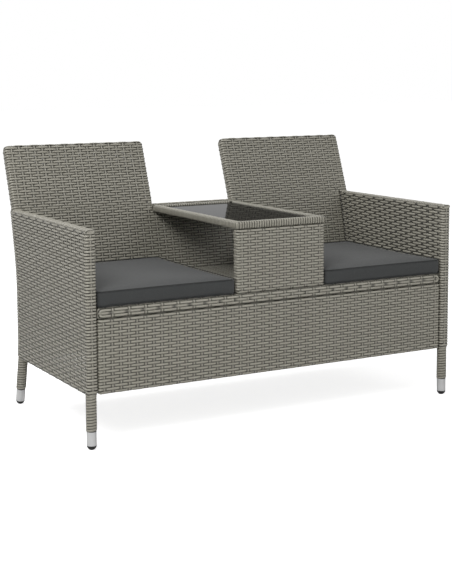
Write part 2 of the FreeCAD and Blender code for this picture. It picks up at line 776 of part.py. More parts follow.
def corner_bend(x, side):
    """Points round a top corner of a backrest; side is 1 where the corner faces away from X = 0."""
    centre = Vector(x - side * sheet.back_corner, 0, layout.loop_top - sheet.back_corner)
    turns = [math.radians(turn) for turn in (0, 22.5, 45, 67.5, 90)]
    reach = sheet.back_corner
    return [centre + Vector(side * reach * math.cos(turn), 0, reach * math.sin(turn)) for turn in turns]


def backrest_loops(label, radius):
    """Both backrest loops, with the stubs that stand on the back's top rail."""
    pieces = []
    wide = "(layout.loop_out_x - layout.loop_in_x)"
    tall = "(layout.loop_top - sizes.loop_height)"
    for side, start in (("right", ""), ("left", "-")):
        x_low = "layout.loop_in_x" if side == "right" else "-layout.loop_out_x"
        runs = [
            (wide, "x", x_low, "sizes.loop_height"),
            (f"{wide} - 2 * sizes.back_corner", "x", f"{x_low} + sizes.back_corner", "layout.loop_top"),
            ("layout.loop_top - sizes.back_corner", "z", start + "layout.loop_in_x", "0"),
            (f"{tall} - sizes.back_corner", "z", start + "layout.loop_out_x", "sizes.loop_height"),
            ("sizes.loop_height", "z", start + "layout.mid_x", "0"),
        ]
        for number, run in enumerate(runs):
            pieces.append(slope_rod(f"{label}_{side}_run{number}", radius, *run))
        for number, (x, rise) in enumerate(
            (
                ("layout.loop_out_x", "sizes.loop_height"),
                ("layout.loop_in_x", "0"),
                ("layout.mid_x", "0"),
            )
        ):
            piece = doc.addObject("Part::Sphere", f"{label}_{side}_corner{number}")
            pieces.append(bind(piece, Radius=radius, x=start + x, z=rise))
        sign = 1 if side == "right" else -1
        for name, x, way in (("in", layout.loop_in_x, -1), ("out", layout.loop_out_x, 1)):
            bend = corner_bend(sign * x, sign * way)
            pieces += bend_rods(f"{label}_{side}_{name}", value(radius), bend)
    return tilted(label, pieces)


def notched(label, band, radius, shift):
    """The back's band grown to a radius, with a round-topped notch between the two backrests."""
    full = grow(label + "_full", band, f"{radius} - {CORE_HALF}")
    rake_turn = Rotation(Vector(1, 0, 0), -sheet.arm_rake)
    reach = 4 * layout.skin_r
    half = f"(sizes.back_opening / 2 + {shift})"
    notch = doc.addObject("Part::Box", label + "_notch")
    bind(notch, Length=f"2 * {half}", Width=str(2 * reach), Height=str(reach))
    corner = at(-value(half), post_v(layout.cross_z), layout.cross_z)
    notch.Placement = Placement(corner + rake_turn.multVec(Vector(0, -reach, 0)), rake_turn)
    top = rod(
        label + "_top",
        radius,
        f"2 * {half}",
        "x",
        f"-{half}",
        str(post_v(layout.cross_z)),
        "layout.cross_z",
    )
    return fuse(label, [cut(label + "_sides", full, [notch]), top])


def back_panel():
    cross_v = str(post_v(layout.cross_z))
    low_v = str(post_v(layout.low_z))
    runs, corners, bent = [], [], []
    seat_v = str(post_v(layout.seat_z))
    runs.append(("2 * layout.mid_x", "x", "-layout.mid_x", low_v, "layout.low_z"))
    rails = [
        ("2 * layout.mid_x", "x", "-layout.mid_x", v, z)
        for v, z in ((seat_v, "layout.seat_z"), (cross_v, "layout.cross_z"))
    ]
    for side in (-1, 1):
        corners.append((f"{side} * layout.mid_x", low_v, "layout.low_z"))
        bent.append((layout.low_z, layout.break_z, side * layout.mid_x))
        bent.append((layout.cross_z, layout.break_z, side * layout.loop_in_x))
    loops = (
        backrest_loops("loop_bars", "layout.tube_r"),
        backrest_loops("loop_bores", "layout.bore_r"),
    )
    welded("back_frame", runs, corners, "tube", rails, bent, [loops])

    reach = layout.skin_r * 2
    strip = (
        post_line(layout.low_z, layout.break_z + reach, 0, -CORE_HALF),
        post_line(layout.low_z, layout.break_z + reach, 0, CORE_HALF),
    )
    ends = [
        Part.makeLine(strip[0][-1].Vertexes[-1].Point, strip[1][-1].Vertexes[-1].Point),
        Part.makeLine(strip[0][0].Vertexes[0].Point, strip[1][0].Vertexes[0].Point),
    ]
    section = Part.Wire(Part.sortEdges(strip[0] + strip[1] + ends)[0])
    width = Vector(2 * layout.mid_x, 0, 0)
    band = fixed("back_band", Part.Face(section).extrude(width))
    bind(band, x="-layout.mid_x")
    outer = notched("back_skin_outer", band, "layout.skin_r", "0")
    inner = notched("back_skin_inner", band, "layout.tube_r + sizes.weave_gap", "2 * sizes.strand_thick")
    hollow = cut("back_skin_hollow", outer, [inner])
    above_arms = block(
        "above_arms",
        "4 * layout.side_x",
        "2 * layout.trim_reach",
        "layout.trim_reach",
        "-2 * layout.side_x",
        "layout.break_v - layout.trim_reach",
        "sizes.arm_height",
    )
    keys = []
    for height in (sheet.back_bolt_low, sheet.back_bolt_high):
        for side in (-1, 1):
            x = side * (layout.mid_x - layout.tube_r - head_room - sheet.key_hole / 4)
            keys.append(
                Part.makeCylinder(
                    sheet.key_hole / 2, layout.tube_r * 2, at(x, post_v(height), height), BACK
                )
            )
    key_ways = fixed("key_ways", Part.makeCompound(keys))
    head_ways = fixed(
        "rim_head_ways",
        ways(
            sheet.washer_dia / 2 + sheet.bolt_play,
            lambda run: -4 * layout.weave_cover,
            lambda run: 1,
            both_sides(BOLTS[-1:]),
        ),
    )
    openings = [above_arms, weave_ways, key_ways, head_ways]
    finish("back_weave_lower", cut("back_skin_drilled", hollow, openings))


def backrests():
    radius = sheet.back_corner
    low, high = -4 * layout.skin_r, layout.loop_top
    left, right = layout.loop_in_x, layout.loop_out_x
    bulge = radius * (1 - math.sqrt(0.5))
    spots = [
        Vector(left, 0, low),
        Vector(right, 0, low),
        Vector(right, 0, high - radius),
        Vector(right - bulge, 0, high - bulge),
        Vector(right - radius, 0, high),
        Vector(left + radius, 0, high),
        Vector(left + bulge, 0, high - bulge),
        Vector(left, 0, high - radius),
    ]
    outline = [
        Part.makeLine(spots[0], spots[1]),
        Part.makeLine(spots[1], spots[2]),
        Part.Arc(spots[2], spots[3], spots[4]).toShape(),
        Part.makeLine(spots[4], spots[5]),
        Part.Arc(spots[5], spots[6], spots[7]).toShape(),
        Part.makeLine(spots[7], spots[0]),
    ]
    core = plate("backrest_core", outline, BACK)
    hollow = skin("backrest_skin", core, "tube")
    slope = Rotation(Vector(1, 0, 0), -sheet.back_rake)
    hollow.Placement = Placement(at(0, layout.break_v, layout.break_z), slope)
    below = block(
        "below_backrest",
        "4 * layout.side_x",
        "2 * layout.trim_reach",
        "layout.trim_reach",
        "-2 * layout.side_x",
        "layout.break_v - layout.trim_reach",
        "layout.break_z - layout.trim_reach",
    )
    finish("backrest_weave_right", cut("backrest_skin_trimmed", hollow, [below]))
    mirrored("backrest_weave_left", nodes["backrest_weave_right"])


back_panel()
backrests()


# Table between the seats: square rim with glass tabs, four wrapped sides, glass and its pads
def rounded(label, base, radius, test):
    """Rounds the edges of a base that pass a test."""
    doc.recompute()
    piece = doc.addObject("Part::Fillet", label)
    piece.Base = base
    edges = base.Shape.Edges
    piece.Edges = [(number, radius, radius) for number, edge in enumerate(edges, start=1) if test(edge)]
    return piece


def level_edge(edge):
    return abs(edge.tangentAt(edge.FirstParameter).z) < 0.5


def rim_ring(label, out, radius):
    """A rounded square ring, grown by out from the rim tube's own faces."""
    whole = block(
        label + "_block",
        f"2 * (layout.rim_x + {out})",
        f"layout.rim_rear_v - layout.rim_front_v + 2 * ({out})",
        f"sizes.rim_tube + 2 * ({out})",
        f"-(layout.rim_x + {out})",
        f"layout.rim_front_v - ({out})",
        f"layout.rim_tube_z - ({out})",
    )
    inset = f"(sizes.rim_tube + {out})"
    middle = block(
        label + "_middle",
        f"2 * (layout.rim_x - {inset})",
        f"layout.rim_rear_v - layout.rim_front_v - 2 * {inset}",
        "sizes.rim_tube * 2",
        f"{inset} - layout.rim_x",
        f"layout.rim_front_v + {inset}",
        "layout.rim_tube_z - sizes.rim_tube / 2",
    )
    return rounded(label, cut(label + "_square", whole, [middle]), radius, level_edge)


def tab_box(root, inward, gap):
    """The box of a glass tab from its root in the tube wall to its tip, larger by a gap all round."""
    across = Vector(abs(inward.y), abs(inward.x), 0) * (sheet.tab_width / 2 + gap)
    start, tip = root - inward * gap, root + inward * (sheet.tab_reach + gap)
    low = Vector(min(start.x, tip.x), min(start.y, tip.y), root.z - gap) - across
    high = Vector(max(start.x, tip.x), max(start.y, tip.y), root.z + sheet.tab_thick + gap) + across
    size = high - low
    return Part.makeBox(size.x, size.y, size.z, low)


def table_rim():
    steel = rim_ring("rim_steel", "0", sheet.rim_round)
    bore = rim_ring("rim_bore", "-sizes.tube_wall", sheet.rim_round - sheet.tube_wall)
    tube_ring = cut("rim_tube_ring", steel, [bore])
    middle_v = (layout.rim_front_v + layout.rim_rear_v) / 2
    quarter_v = (layout.rim_rear_v - layout.rim_front_v) / 4
    root_depth = sheet.rim_tube - sheet.tube_wall / 2
    root_x = layout.rim_x - root_depth
    root_z = layout.tab_top_z - sheet.tab_thick
    roots = [
        (at(0, layout.rim_front_v + root_depth, root_z), BACK),
        (at(0, layout.rim_rear_v - root_depth, root_z), FORTH),
    ]
    for v in (middle_v - quarter_v, middle_v + quarter_v):
        roots += [(at(root_x, v, root_z), Vector(-1, 0, 0)), (at(-root_x, v, root_z), RIGHT)]
    tabs = [tab_box(root, inward, 0) for root, inward in roots]
    slots = [tab_box(root, inward, sheet.tab_slot_gap) for root, inward in roots]
    pads = []
    for root, inward in roots:
        spot = root + inward * (sheet.tab_reach - sheet.pad_dia / 2) + UP * sheet.tab_thick
        pads.append(Part.makeCylinder(sheet.pad_dia / 2, sheet.pad_thick, spot))
    tab_group = fixed("glass_tabs", Part.makeCompound(tabs))
    tab_slots = fixed("tab_slots", Part.makeCompound(slots))
    welded_rim = fuse("rim_with_tabs", [tube_ring, tab_group])
    finish("table_rim_frame", cut("rim_drilled", welded_rim, [frame_ways]))
    finish("glass_pads", fixed("pads", Part.makeCompound(pads)))

    wrap_outer = rim_ring("wrap_outer", "layout.wrap_cover", sheet.rim_round + layout.wrap_cover)
    wrap_inner = rim_ring("wrap_inner", "sizes.weave_gap", sheet.rim_round + sheet.weave_gap)
    wrap_ring = cut("wrap_ring", wrap_outer, [wrap_inner, weave_ways, tab_slots])
    out = layout.wrap_cover + 1
    deep = sheet.rim_tube + out
    gap = sheet.mitre_gap
    front, rear, x = layout.rim_front_v, layout.rim_rear_v, layout.rim_x
    low, high = layout.rim_low_z - 1, sheet.table_height + 1

    def sector(name, corners):
        spots = [at(corner_x, corner_v, low) for corner_x, corner_v in corners]
        face = Part.Face(Part.Wire(loop(spots)))
        wedge = fixed(name + "_sector", face.extrude(Vector(0, 0, high - low)))
        piece = doc.addObject("Part::Common", name + "_side")
        piece.Base = wrap_ring
        piece.Tool = wedge
        finish(name, piece)

    sector(
        "rim_wrap_front",
        [
            (-x - out + gap, front - out),
            (x + out - gap, front - out),
            (x - deep - gap, front + deep),
            (-x + deep + gap, front + deep),
        ],
    )
    sector(
        "rim_wrap_back",
        [
            (-x - out + gap, rear + out),
            (x + out - gap, rear + out),
            (x - deep - gap, rear - deep),
            (-x + deep + gap, rear - deep),
        ],
    )
    sector(
        "rim_wrap_right",
        [
            (x + out, front - out + gap),
            (x + out, rear + out - gap),
            (x - deep, rear - deep - gap),
            (x - deep, front + deep + gap),
        ],
    )
    sector(
        "rim_wrap_left",
        [
            (-x - out, front - out + gap),
            (-x - out, rear + out - gap),
            (-x + deep, rear - deep - gap),
            (-x + deep, front + deep + gap),
        ],
    )

    inset = "(sizes.rim_tube + layout.wrap_cover + sizes.glass_gap)"
    slab = block(
        "glass_slab",
        f"2 * (layout.rim_x - {inset})",
        f"layout.rim_rear_v - layout.rim_front_v - 2 * {inset}",
        "sizes.glass_thick",
        f"{inset} - layout.rim_x",
        f"layout.rim_front_v + {inset}",
        "layout.glass_low_z",
    )
    finish("glass_top", rounded("glass_polished", slab, sheet.glass_edge, lambda edge: True))


table_rim()


# Loose seat cushions: crowned on top, drawn in at the sides, with a cover, foam and a zip
def cushion_plan(half_x, half_y, draw, corner, z):
    """One level of a cushion: four drawn-in sides and four corners, centred on the upright axis."""
    bulge = corner * (1 - math.sqrt(0.5))
    spots = [
        (half_x - corner, -half_y),
        (half_x - bulge, -half_y + bulge),
        (half_x, -half_y + corner),
        (half_x - draw, 0),
        (half_x, half_y - corner),
        (half_x - bulge, half_y - bulge),
        (half_x - corner, half_y),
        (0, half_y - draw),
        (-half_x + corner, half_y),
        (-half_x + bulge, half_y - bulge),
        (-half_x, half_y - corner),
        (-half_x + draw, 0),
        (-half_x, -half_y + corner),
        (-half_x + bulge, -half_y + bulge),
        (-half_x + corner, -half_y),
        (0, -half_y + draw),
    ]
    spots = [Vector(x, y, z) for x, y in spots]
    spots.append(spots[0])
    return Part.Wire([Part.Arc(*spots[n : n + 3]).toShape() for n in range(0, len(spots) - 1, 2)])


# Shares of the seam's rounding and of the way from the edge to the middle, where the cushion is cut
SEAM_SHARE = 0.3
CROWN_SHARES = (0.25, 0.55, 0.85)
CROWN_REACH = 0.9
SMALLEST_CORNER = 0.5


def cushion_form(label, half_x, half_y, inset):
    """A closed cushion shape, inset by so much from the outside of the cover."""
    top = sheet.cushion_thick
    seam = sheet.cushion_round
    step = seam * SEAM_SHARE
    levels = [(seam, 0), (step, step), (0, seam)]
    levels += [(0, top - seam), (step, top - step), (seam, top)]
    full = math.sin(CROWN_SHARES[-1] * math.pi / 2)
    for share in CROWN_SHARES:
        rise = sheet.cushion_crown * math.sin(share * math.pi / 2) / full
        levels.append((seam + share * half_x * CROWN_REACH, top + rise))
    middle = (levels[0][1] + levels[-1][1]) / 2
    squeeze = 1 - 2 * inset / levels[-1][1]
    sections = []
    for draw_in, height in levels:
        share = 1 - draw_in / half_x
        sections.append(
            cushion_plan(
                half_x - draw_in - inset,
                half_y - draw_in - inset,
                sheet.cushion_draw * share,
                sheet.cushion_corner * max(share, SMALLEST_CORNER),
                middle + (height - middle) * squeeze,
            )
        )
    return fixed(label, Part.makeLoft(sections, True, True))


def cushion():
    low_x = sheet.console_width / 2 + sheet.cushion_gap
    high_x = layout.side_x - layout.skin_r - sheet.cushion_gap
    low_v = layout.front_face_v - sheet.cushion_front
    high_v = sheet.post_spacing - layout.skin_r - sheet.cushion_back
    half_x, half_y = (high_x - low_x) / 2, (high_v - low_v) / 2
    place = Placement(
        at((low_x + high_x) / 2, (low_v + high_v) / 2, sheet.seat_top + sheet.cushion_rest),
        Rotation(),
    )
    outer = cushion_form("cushion_outer", half_x, half_y, 0)
    inner = cushion_form("cushion_inner", half_x, half_y, sheet.cover_thick)
    foam = cushion_form("cushion_foam", half_x, half_y, sheet.cover_thick + sheet.foam_gap)
    cover = cut("cushion_cover", outer, [inner])
    half_zip = sheet.zip_length / 2
    side_r = ((half_x - sheet.cushion_corner) ** 2 + sheet.cushion_draw**2) / (2 * sheet.cushion_draw)

    def side_y(x, out):
        return half_y - sheet.cushion_draw + out + side_r - math.sqrt(side_r**2 - x**2)

    near, far = sheet.zip_gap, sheet.zip_gap + sheet.zip_thick
    low = (sheet.cushion_thick - sheet.zip_width) / 2
    rows = [[Vector(x, side_y(x, out), low) for x in (-half_zip, 0, half_zip)] for out in (near, far)]
    outline = [
        Part.Arc(*rows[0]).toShape(),
        Part.makeLine(rows[0][2], rows[1][2]),
        Part.Arc(*rows[1]).toShape(),
        Part.makeLine(rows[1][0], rows[0][0]),
    ]
    face = Part.Face(Part.Wire(Part.sortEdges(outline)[0]))
    zipper = fixed("cushion_zip", face.extrude(Vector(0, 0, sheet.zip_width)))
    for name, piece in (("cushion_cover", cover), ("cushion_foam", foam), ("cushion_zip", zipper)):
        piece.Placement = place
        finish(name + "_right", piece)
        mirrored(name + "_left", piece)


cushion()


# Bolts, washers and inserts, one design of each, set out along the bolt list
def fastener_masters():
    shank, head = "sizes.bolt_dia / 2", "sizes.head_dia / 2"
    masters = {}
    for kind in ("long", "short"):
        length = f"sizes.{kind}_bolt"
        body = revolved(
            f"{kind}_bolt_master",
            [
                ("0", f"-{length}"),
                (shank, f"-{length}"),
                (shank, "0"),
                (head, "0"),
                (head, "sizes.head_height"),
                ("0", "sizes.head_height"),
            ],
        )
        sketch = body.newObject("Sketcher::SketchObject", f"{kind}_socket_outline")
        plane = next(item for item in body.Origin.OriginFeatures if item.Role == "XY_Plane")
        sketch.AttachmentSupport = [(plane, "")]
        sketch.MapMode = "FlatFace"
        sketch.setExpression("AttachmentOffset.Base.z", "sizes.head_height")
        radius = sheet.socket_size / math.sqrt(3)
        spots = [
            Vector(radius * math.cos(n * math.pi / 3), radius * math.sin(n * math.pi / 3), 0)
            for n in range(6)
        ]
        for start, end in zip(spots, spots[1:] + spots[:1]):
            sketch.addGeometry(Part.LineSegment(start, end), False)
        solid = body.Tip
        doc.recompute()
        before = solid.Shape.Volume
        pocket = body.newObject("PartDesign::Pocket", f"{kind}_socket")
        pocket.Profile = sketch
        pocket.setExpression("Length", "sizes.socket_depth")
        doc.recompute()
        if body.Shape.Volume >= before - 1:
            raise RuntimeError(f"the socket of the {kind} bolt cuts nothing")
        masters[kind] = body
    masters["washer"] = revolved(
        "washer_master",
        [
            ("sizes.bolt_dia / 2 + sizes.bolt_play", "0"),
            ("sizes.washer_dia / 2", "0"),
            ("sizes.washer_dia / 2", "sizes.washer_thick"),
            ("sizes.bolt_dia / 2 + sizes.bolt_play", "sizes.washer_thick"),
        ],
    )
    masters["insert"] = revolved(
        "insert_master",
        [
            ("sizes.bolt_dia / 2 + sizes.insert_fit", "-sizes.insert_length"),
            ("sizes.insert_dia / 2", "-sizes.insert_length"),
            ("sizes.insert_dia / 2", "0"),
            ("sizes.bolt_dia / 2 + sizes.insert_fit", "0"),
        ],
    )
    return masters


def fasteners():
    """Copies of each design along every bolt; the designs point their heads up."""
    masters = fastener_masters()
    doc.recompute()
    groups = {"bolts_long": [], "bolts_short": [], "bolt_washers": [], "threaded_inserts": []}
    for seat, way, run, kind in all_bolts:
        turn = Rotation(Vector(0, 0, -1), way)
        for group, master, distance in (
            ("bolts_" + kind, masters[kind], -sheet.washer_thick),
            ("bolt_washers", masters["washer"], 0),
            ("threaded_inserts", masters["insert"], run),
        ):
            shape = master.Shape.copy()
            shape.Placement = Placement(seat + way * distance, turn)
            groups[group].append(shape)
    for node, shapes in groups.items():
        finish(node, fixed(node + "_set", Part.makeCompound(shapes)))


fasteners()

doc.recompute()
for item in doc.Objects:
    if "Invalid" in item.State or "Error" in item.State:
        raise RuntimeError(f"{item.Label} failed: {item.State}")
for node, piece in nodes.items():
    if piece.Shape.isNull() or not piece.Shape.isValid():
        raise RuntimeError(f"{node} has no valid shape")

os.makedirs("parts", exist_ok=True)
for node, piece in nodes.items():
    piece.Shape.exportStep(f"parts/{node}.step")
    print(node, len(piece.Shape.Solids), round(piece.Shape.Volume))
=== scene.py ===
import math

import bpy
import numpy as np
from mathutils import Matrix, Vector


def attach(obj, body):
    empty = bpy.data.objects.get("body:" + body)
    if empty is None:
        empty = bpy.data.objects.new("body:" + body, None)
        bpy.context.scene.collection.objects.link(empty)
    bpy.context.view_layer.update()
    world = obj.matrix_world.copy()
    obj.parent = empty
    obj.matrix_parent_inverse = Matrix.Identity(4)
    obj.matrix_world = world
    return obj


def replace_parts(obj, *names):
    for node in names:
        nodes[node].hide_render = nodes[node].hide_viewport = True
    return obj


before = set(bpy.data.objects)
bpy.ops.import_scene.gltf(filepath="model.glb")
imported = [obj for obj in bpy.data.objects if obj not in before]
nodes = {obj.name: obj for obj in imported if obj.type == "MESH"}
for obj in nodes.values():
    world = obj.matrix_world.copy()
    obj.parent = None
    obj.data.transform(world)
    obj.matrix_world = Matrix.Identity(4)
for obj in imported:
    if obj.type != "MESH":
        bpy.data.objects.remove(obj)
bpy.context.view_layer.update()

rng = np.random.default_rng(11)
bothSides = ((-1, "left"), (1, "right"))
print("bench frame loaded")


cameraSettings = {
    "place": (-2.08411, -3.73483, 1.11048),
    "yaw": 29.108,  # degrees from straight back towards the right
    "pitch": 6.351,  # degrees down
    "roll": -0.266,
    "lens": 78.81,
    "shiftY": -0.137,
}
lightSettings = {
    "world": 0.22,
    "key": {"place": (-3.1, -2.7, 3.8), "size": 2.0, "power": 165},
    "fill": {"place": (2.2, -4.0, 2.2), "size": 2.5, "power": 34},
    "top": {"place": (-0.6, 1.2, 3.2), "size": 1.6, "power": 38},
    "aim": (0, 0, 0.4),
    "floorGlow": 0.80,
    "floorTone": (0.82, 0.82, 0.82, 1),
    "floorReach": 30,
}


def newObject(name, data):
    thing = bpy.data.objects.new(name, data)
    bpy.context.scene.collection.objects.link(thing)
    return thing


def newMaterial(name):
    paint = bpy.data.materials.new(name)
    paint.use_nodes = True
    return paint, paint.node_tree, paint.node_tree.nodes["Principled BSDF"]


def setInput(tree, node, key, value):
    # a socket is linked, anything else is a plain value
    if hasattr(value, "links"):
        tree.links.new(value, node.inputs[key])
    else:
        node.inputs[key].default_value = value


def addNode(tree, kind, values, **settings):
    node = tree.nodes.new("ShaderNode" + kind)
    for key, value in settings.items():
        setattr(node, key, value)
    for key, value in values.items():
        setInput(tree, node, key, value)
    return node


def mathNode(tree, operation, *values, clamp=False):
    return addNode(tree, "Math", dict(enumerate(values)), operation=operation, use_clamp=clamp).outputs[0]


def times(tree, first, second):
    return mathNode(tree, "MULTIPLY", first, second)


def makeCamera():
    yaw, pitch, roll = (math.radians(cameraSettings[k]) for k in ("yaw", "pitch", "roll"))
    ahead = Vector((math.sin(yaw) * math.cos(pitch), math.cos(yaw) * math.cos(pitch), -math.sin(pitch)))
    level = Vector((math.cos(yaw), -math.sin(yaw), 0))
    upward = level.cross(ahead)
    side = level * math.cos(roll) + upward * math.sin(roll)
    upward = upward * math.cos(roll) - level * math.sin(roll)
    data = bpy.data.cameras.new("benchCamera")
    data.lens = cameraSettings["lens"]
    data.sensor_width = 36
    data.shift_y = cameraSettings["shiftY"]
    data.clip_end = 100
    cam = newObject("benchCamera", data)
    turn = Matrix((side, upward, -ahead)).transposed()
    cam.matrix_world = Matrix.Translation(cameraSettings["place"]) @ turn.to_4x4()
    bpy.context.scene.camera = cam


def makeLight(name, spec):
    data = bpy.data.lights.new(name, "AREA")
    data.size = spec["size"]
    data.energy = spec["power"]
    lamp = newObject(name, data)
    lamp.location = spec["place"]
    lamp.rotation_mode = "QUATERNION"
    lamp.rotation_quaternion = (Vector(lightSettings["aim"]) - Vector(spec["place"])).to_track_quat("-Z", "Y")


def whiteRays(tree, kinds):
    # 1 where a ray of one of the kinds asks, else 0
    path = tree.nodes.new("ShaderNodeLightPath")
    share = path.outputs[kinds[0]]
    for kind in kinds[1:]:
        share = mathNode(tree, "MAXIMUM", share, path.outputs[kind])
    return share


def makeWorld():
    world = bpy.data.worlds.new("studio")
    bpy.context.scene.world = world
    world.use_nodes = True
    tree = world.node_tree
    tree.nodes.clear()
    soft, white = (addNode(tree, "Background", {"Color": (1, 1, 1, 1), "Strength": power}).outputs[0]
                   for power in (lightSettings["world"], 1.0))
    asked = whiteRays(tree, ("Is Camera Ray", "Is Transmission Ray", "Is Glossy Ray"))
    mix = addNode(tree, "MixShader", {0: asked, 1: soft, 2: white})
    addNode(tree, "OutputWorld", {0: mix.outputs[0]})


def makeFloor():
    data = bpy.data.meshes.new("studioFloor")
    reach = lightSettings["floorReach"]
    corners = [(x * reach, y * reach, 0) for x, y in ((-1, -1), (1, -1), (1, 1), (-1, 1))]
    data.from_pydata(corners, [], [(0, 1, 2, 3)])
    paint, tree, shader = newMaterial("paleFloor")
    glow = times(tree, whiteRays(tree, ("Is Camera Ray", "Is Transmission Ray")), lightSettings["floorGlow"])
    for key, value in (("Base Color", lightSettings["floorTone"]), ("Roughness", 0.9), ("Emission Color", (1, 1, 1, 1)),
                       ("Emission Strength", glow)):
        setInput(tree, shader, key, value)
    data.materials.append(paint)
    newObject("studioFloor", data)


bpy.context.scene.view_settings.view_transform = "Standard"
makeCamera()
makeWorld()
makeFloor()
for name in ("key", "fill", "top"):
    makeLight(name + "Light", lightSettings[name])
print("camera and studio ready")


# pale and deep colour, roughness, strength of the bump and its depth in metres, and what else a finish sets
finishes = {
    "wovenStrand": ((0.350, 0.335, 0.280), (0.262, 0.250, 0.206), 0.36, 0.35, 0.0004, {}),
    # the arms' strand: a lighter copy of wovenStrand, with its painted shade darker and stronger
    "armStrand": ((0.385, 0.368, 0.309), (0.285, 0.272, 0.226), 0.34, 0.35, 0.0004,
                  {"PaintedShade": 1.0, "Shade": (0.010, 0.009, 0.008, 1)}),
    "woundStrand": ((0.350, 0.335, 0.280), (0.262, 0.250, 0.206), 0.36, 0.25, 0.0003, {"Scale": 60.0, "Spread": 0.2}),
    "frameCoat": ((0.052, 0.048, 0.040), (0.035, 0.032, 0.027), 0.5, 0.2, 0.0002, {"Scale": 30.0, "Spread": 0.2}),
    "silverSleeve": ((0.66, 0.66, 0.66), (0.56, 0.56, 0.56), 0.38, 0.1, 0.0002,
                     {"Scale": 35.0, "Spread": 0.15, "Metallic": 0.35}),
    "blackCap": ((0.006, 0.006, 0.006), (0.003, 0.003, 0.003), 0.6, 0.2, 0.0003, {"Scale": 50.0, "Spread": 0.2}),
    "glassPad": ((0.030, 0.030, 0.030), (0.018, 0.018, 0.018), 0.7, 0.2, 0.0002, {"Scale": 80.0, "Spread": 0.1}),
    "zincSteel": ((0.52, 0.52, 0.51), (0.38, 0.38, 0.37), 0.33, 0.15, 0.0001,
                  {"Scale": 90.0, "Spread": 0.2, "Metallic": 1.0}),
    "cushionCloth": ((0.037, 0.039, 0.039), (0.026, 0.028, 0.028), 0.85, 0.4, 0.0004,
                     {"Sheen Weight": 0.12, "Sheen Roughness": 0.5}),
    "seamCord": ((0.020, 0.021, 0.021), (0.012, 0.013, 0.013), 0.85, 0.3, 0.0003, {}),
    "zipTape": ((0.045, 0.048, 0.050), (0.025, 0.027, 0.028), 0.7, 0.4, 0.0004, {}),
}
glass = {"tint": (0.006, 0.006, 0.006, 1), "index": 1.04, "through": 0.05, "rough": (0.02, 0.07), "smear": 14}


def newGroup(name, roughness, extra=()):
    # an effect takes two colours and a roughness, and gives a colour, a roughness and a height
    group = bpy.data.node_groups.new(name, "ShaderNodeTree")
    given = (("Pale", "Color", None), ("Deep", "Color", None), ("Roughness", "Float", roughness), *extra)
    for label, kind, value in given:
        socket = group.interface.new_socket(label, in_out="INPUT", socket_type="NodeSocket" + kind)
        if value is not None:
            socket.default_value = value
    for label, kind in (("Colour", "Color"), ("Roughness", "Float"), ("Height", "Float")):
        group.interface.new_socket(label, in_out="OUTPUT", socket_type="NodeSocket" + kind)
    return group, group.nodes.new("NodeGroupInput").outputs, group.nodes.new("NodeGroupOutput")


def mixColour(tree, share, first, second):
    return addNode(tree, "Mix", {0: share, 6: first, 7: second}, data_type="RGBA").outputs[2]


def noiseNode(tree, vector, scale, detail=3.0, rough=0.5):
    values = {"Vector": vector, "Scale": scale, "Detail": detail, "Roughness": rough}
    return addNode(tree, "TexNoise", values).outputs["Fac"]


def objectPlace(tree):
    return tree.nodes.new("ShaderNodeTexCoord").outputs["Object"]


def weighed(tree, start, *parts):
    # start plus each socket times its weight, kept between 0 and 1
    total = start
    for socket, weight in parts:
        total = mathNode(tree, "MULTIPLY_ADD", socket, weight, total)
    total.node.use_clamp = True
    return total


def swung(tree, base, share, spread):
    # base, moved up and down with a share that is about a half
    return mathNode(tree, "ADD", base, times(tree, mathNode(tree, "SUBTRACT", share, 0.5), spread))


def makeMottle():
    # two colours mottled over a surface
    group, given, out = newGroup("mottle", 0.5, (("Scale", "Float", 40.0), ("Spread", "Float", 0.1)))
    place = objectPlace(group)
    broad = noiseNode(group, place, given["Scale"], 4)
    fine = noiseNode(group, place, times(group, given["Scale"], 14.0), 2)
    setInput(group, out, "Colour", mixColour(group, weighed(group, -0.3, (broad, 1.6)), given["Pale"], given["Deep"]))
    setInput(group, out, "Roughness", swung(group, given["Roughness"], fine, given["Spread"]))
    setInput(group, out, "Height", fine)
    return group


def makeStrandGrain():
    # grooves along a flat strand, its tone, and painted shade darkening its edges and the places where it dips under
    # another strand, from what addStrand writes on its points
    # the colour of the painted shade
    shade = ("Shade", "Color", (0.035, 0.033, 0.028, 1))
    group, given, out = newGroup("strandGrain", 0.5, (shade, ("PaintedShade", "Float", 0.85)))
    at = addNode(group, "Attribute", {}, attribute_name="strandAt")
    along, across, tone = addNode(group, "SeparateXYZ", {0: at.outputs["Vector"]}).outputs
    stretch = addNode(group, "CombineXYZ", {axis: times(group, value, size) for axis, value, size in
                                            ((0, along, 22.0), (1, across, 2.6), (2, tone, 37.0))})
    streak = noiseNode(group, stretch.outputs[0], 1.6, 4, 0.6)
    groove = times(group, mathNode(group, "SINE", times(group, across, 17.0)), 0.5)
    wear = noiseNode(group, objectPlace(group), 9.0, 3)
    share = weighed(group, -0.42, (streak, 0.75), (tone, 0.45), (wear, 0.35))
    # painted shade: the strand's edges darken towards the grooves between rows, and strandDip darkens it where it dips
    # under another strand
    edge = mathNode(group, "POWER", mathNode(group, "ABSOLUTE", across), 2.8)
    sunk = addNode(group, "Attribute", {}, attribute_name="strandDip").outputs["Fac"]
    shadeShare = times(group, edge, times(group, given["PaintedShade"], 0.95))
    shadeShare = mathNode(group, "MAXIMUM", shadeShare, times(group, sunk, given["PaintedShade"]), clamp=True)
    colour = mixColour(group, share, given["Pale"], given["Deep"])
    setInput(group, out, "Colour", mixColour(group, shadeShare, colour, given["Shade"]))
    setInput(group, out, "Roughness", swung(group, given["Roughness"], streak, 0.25))
    setInput(group, out, "Height", mathNode(group, "ADD", groove, streak))
    return group


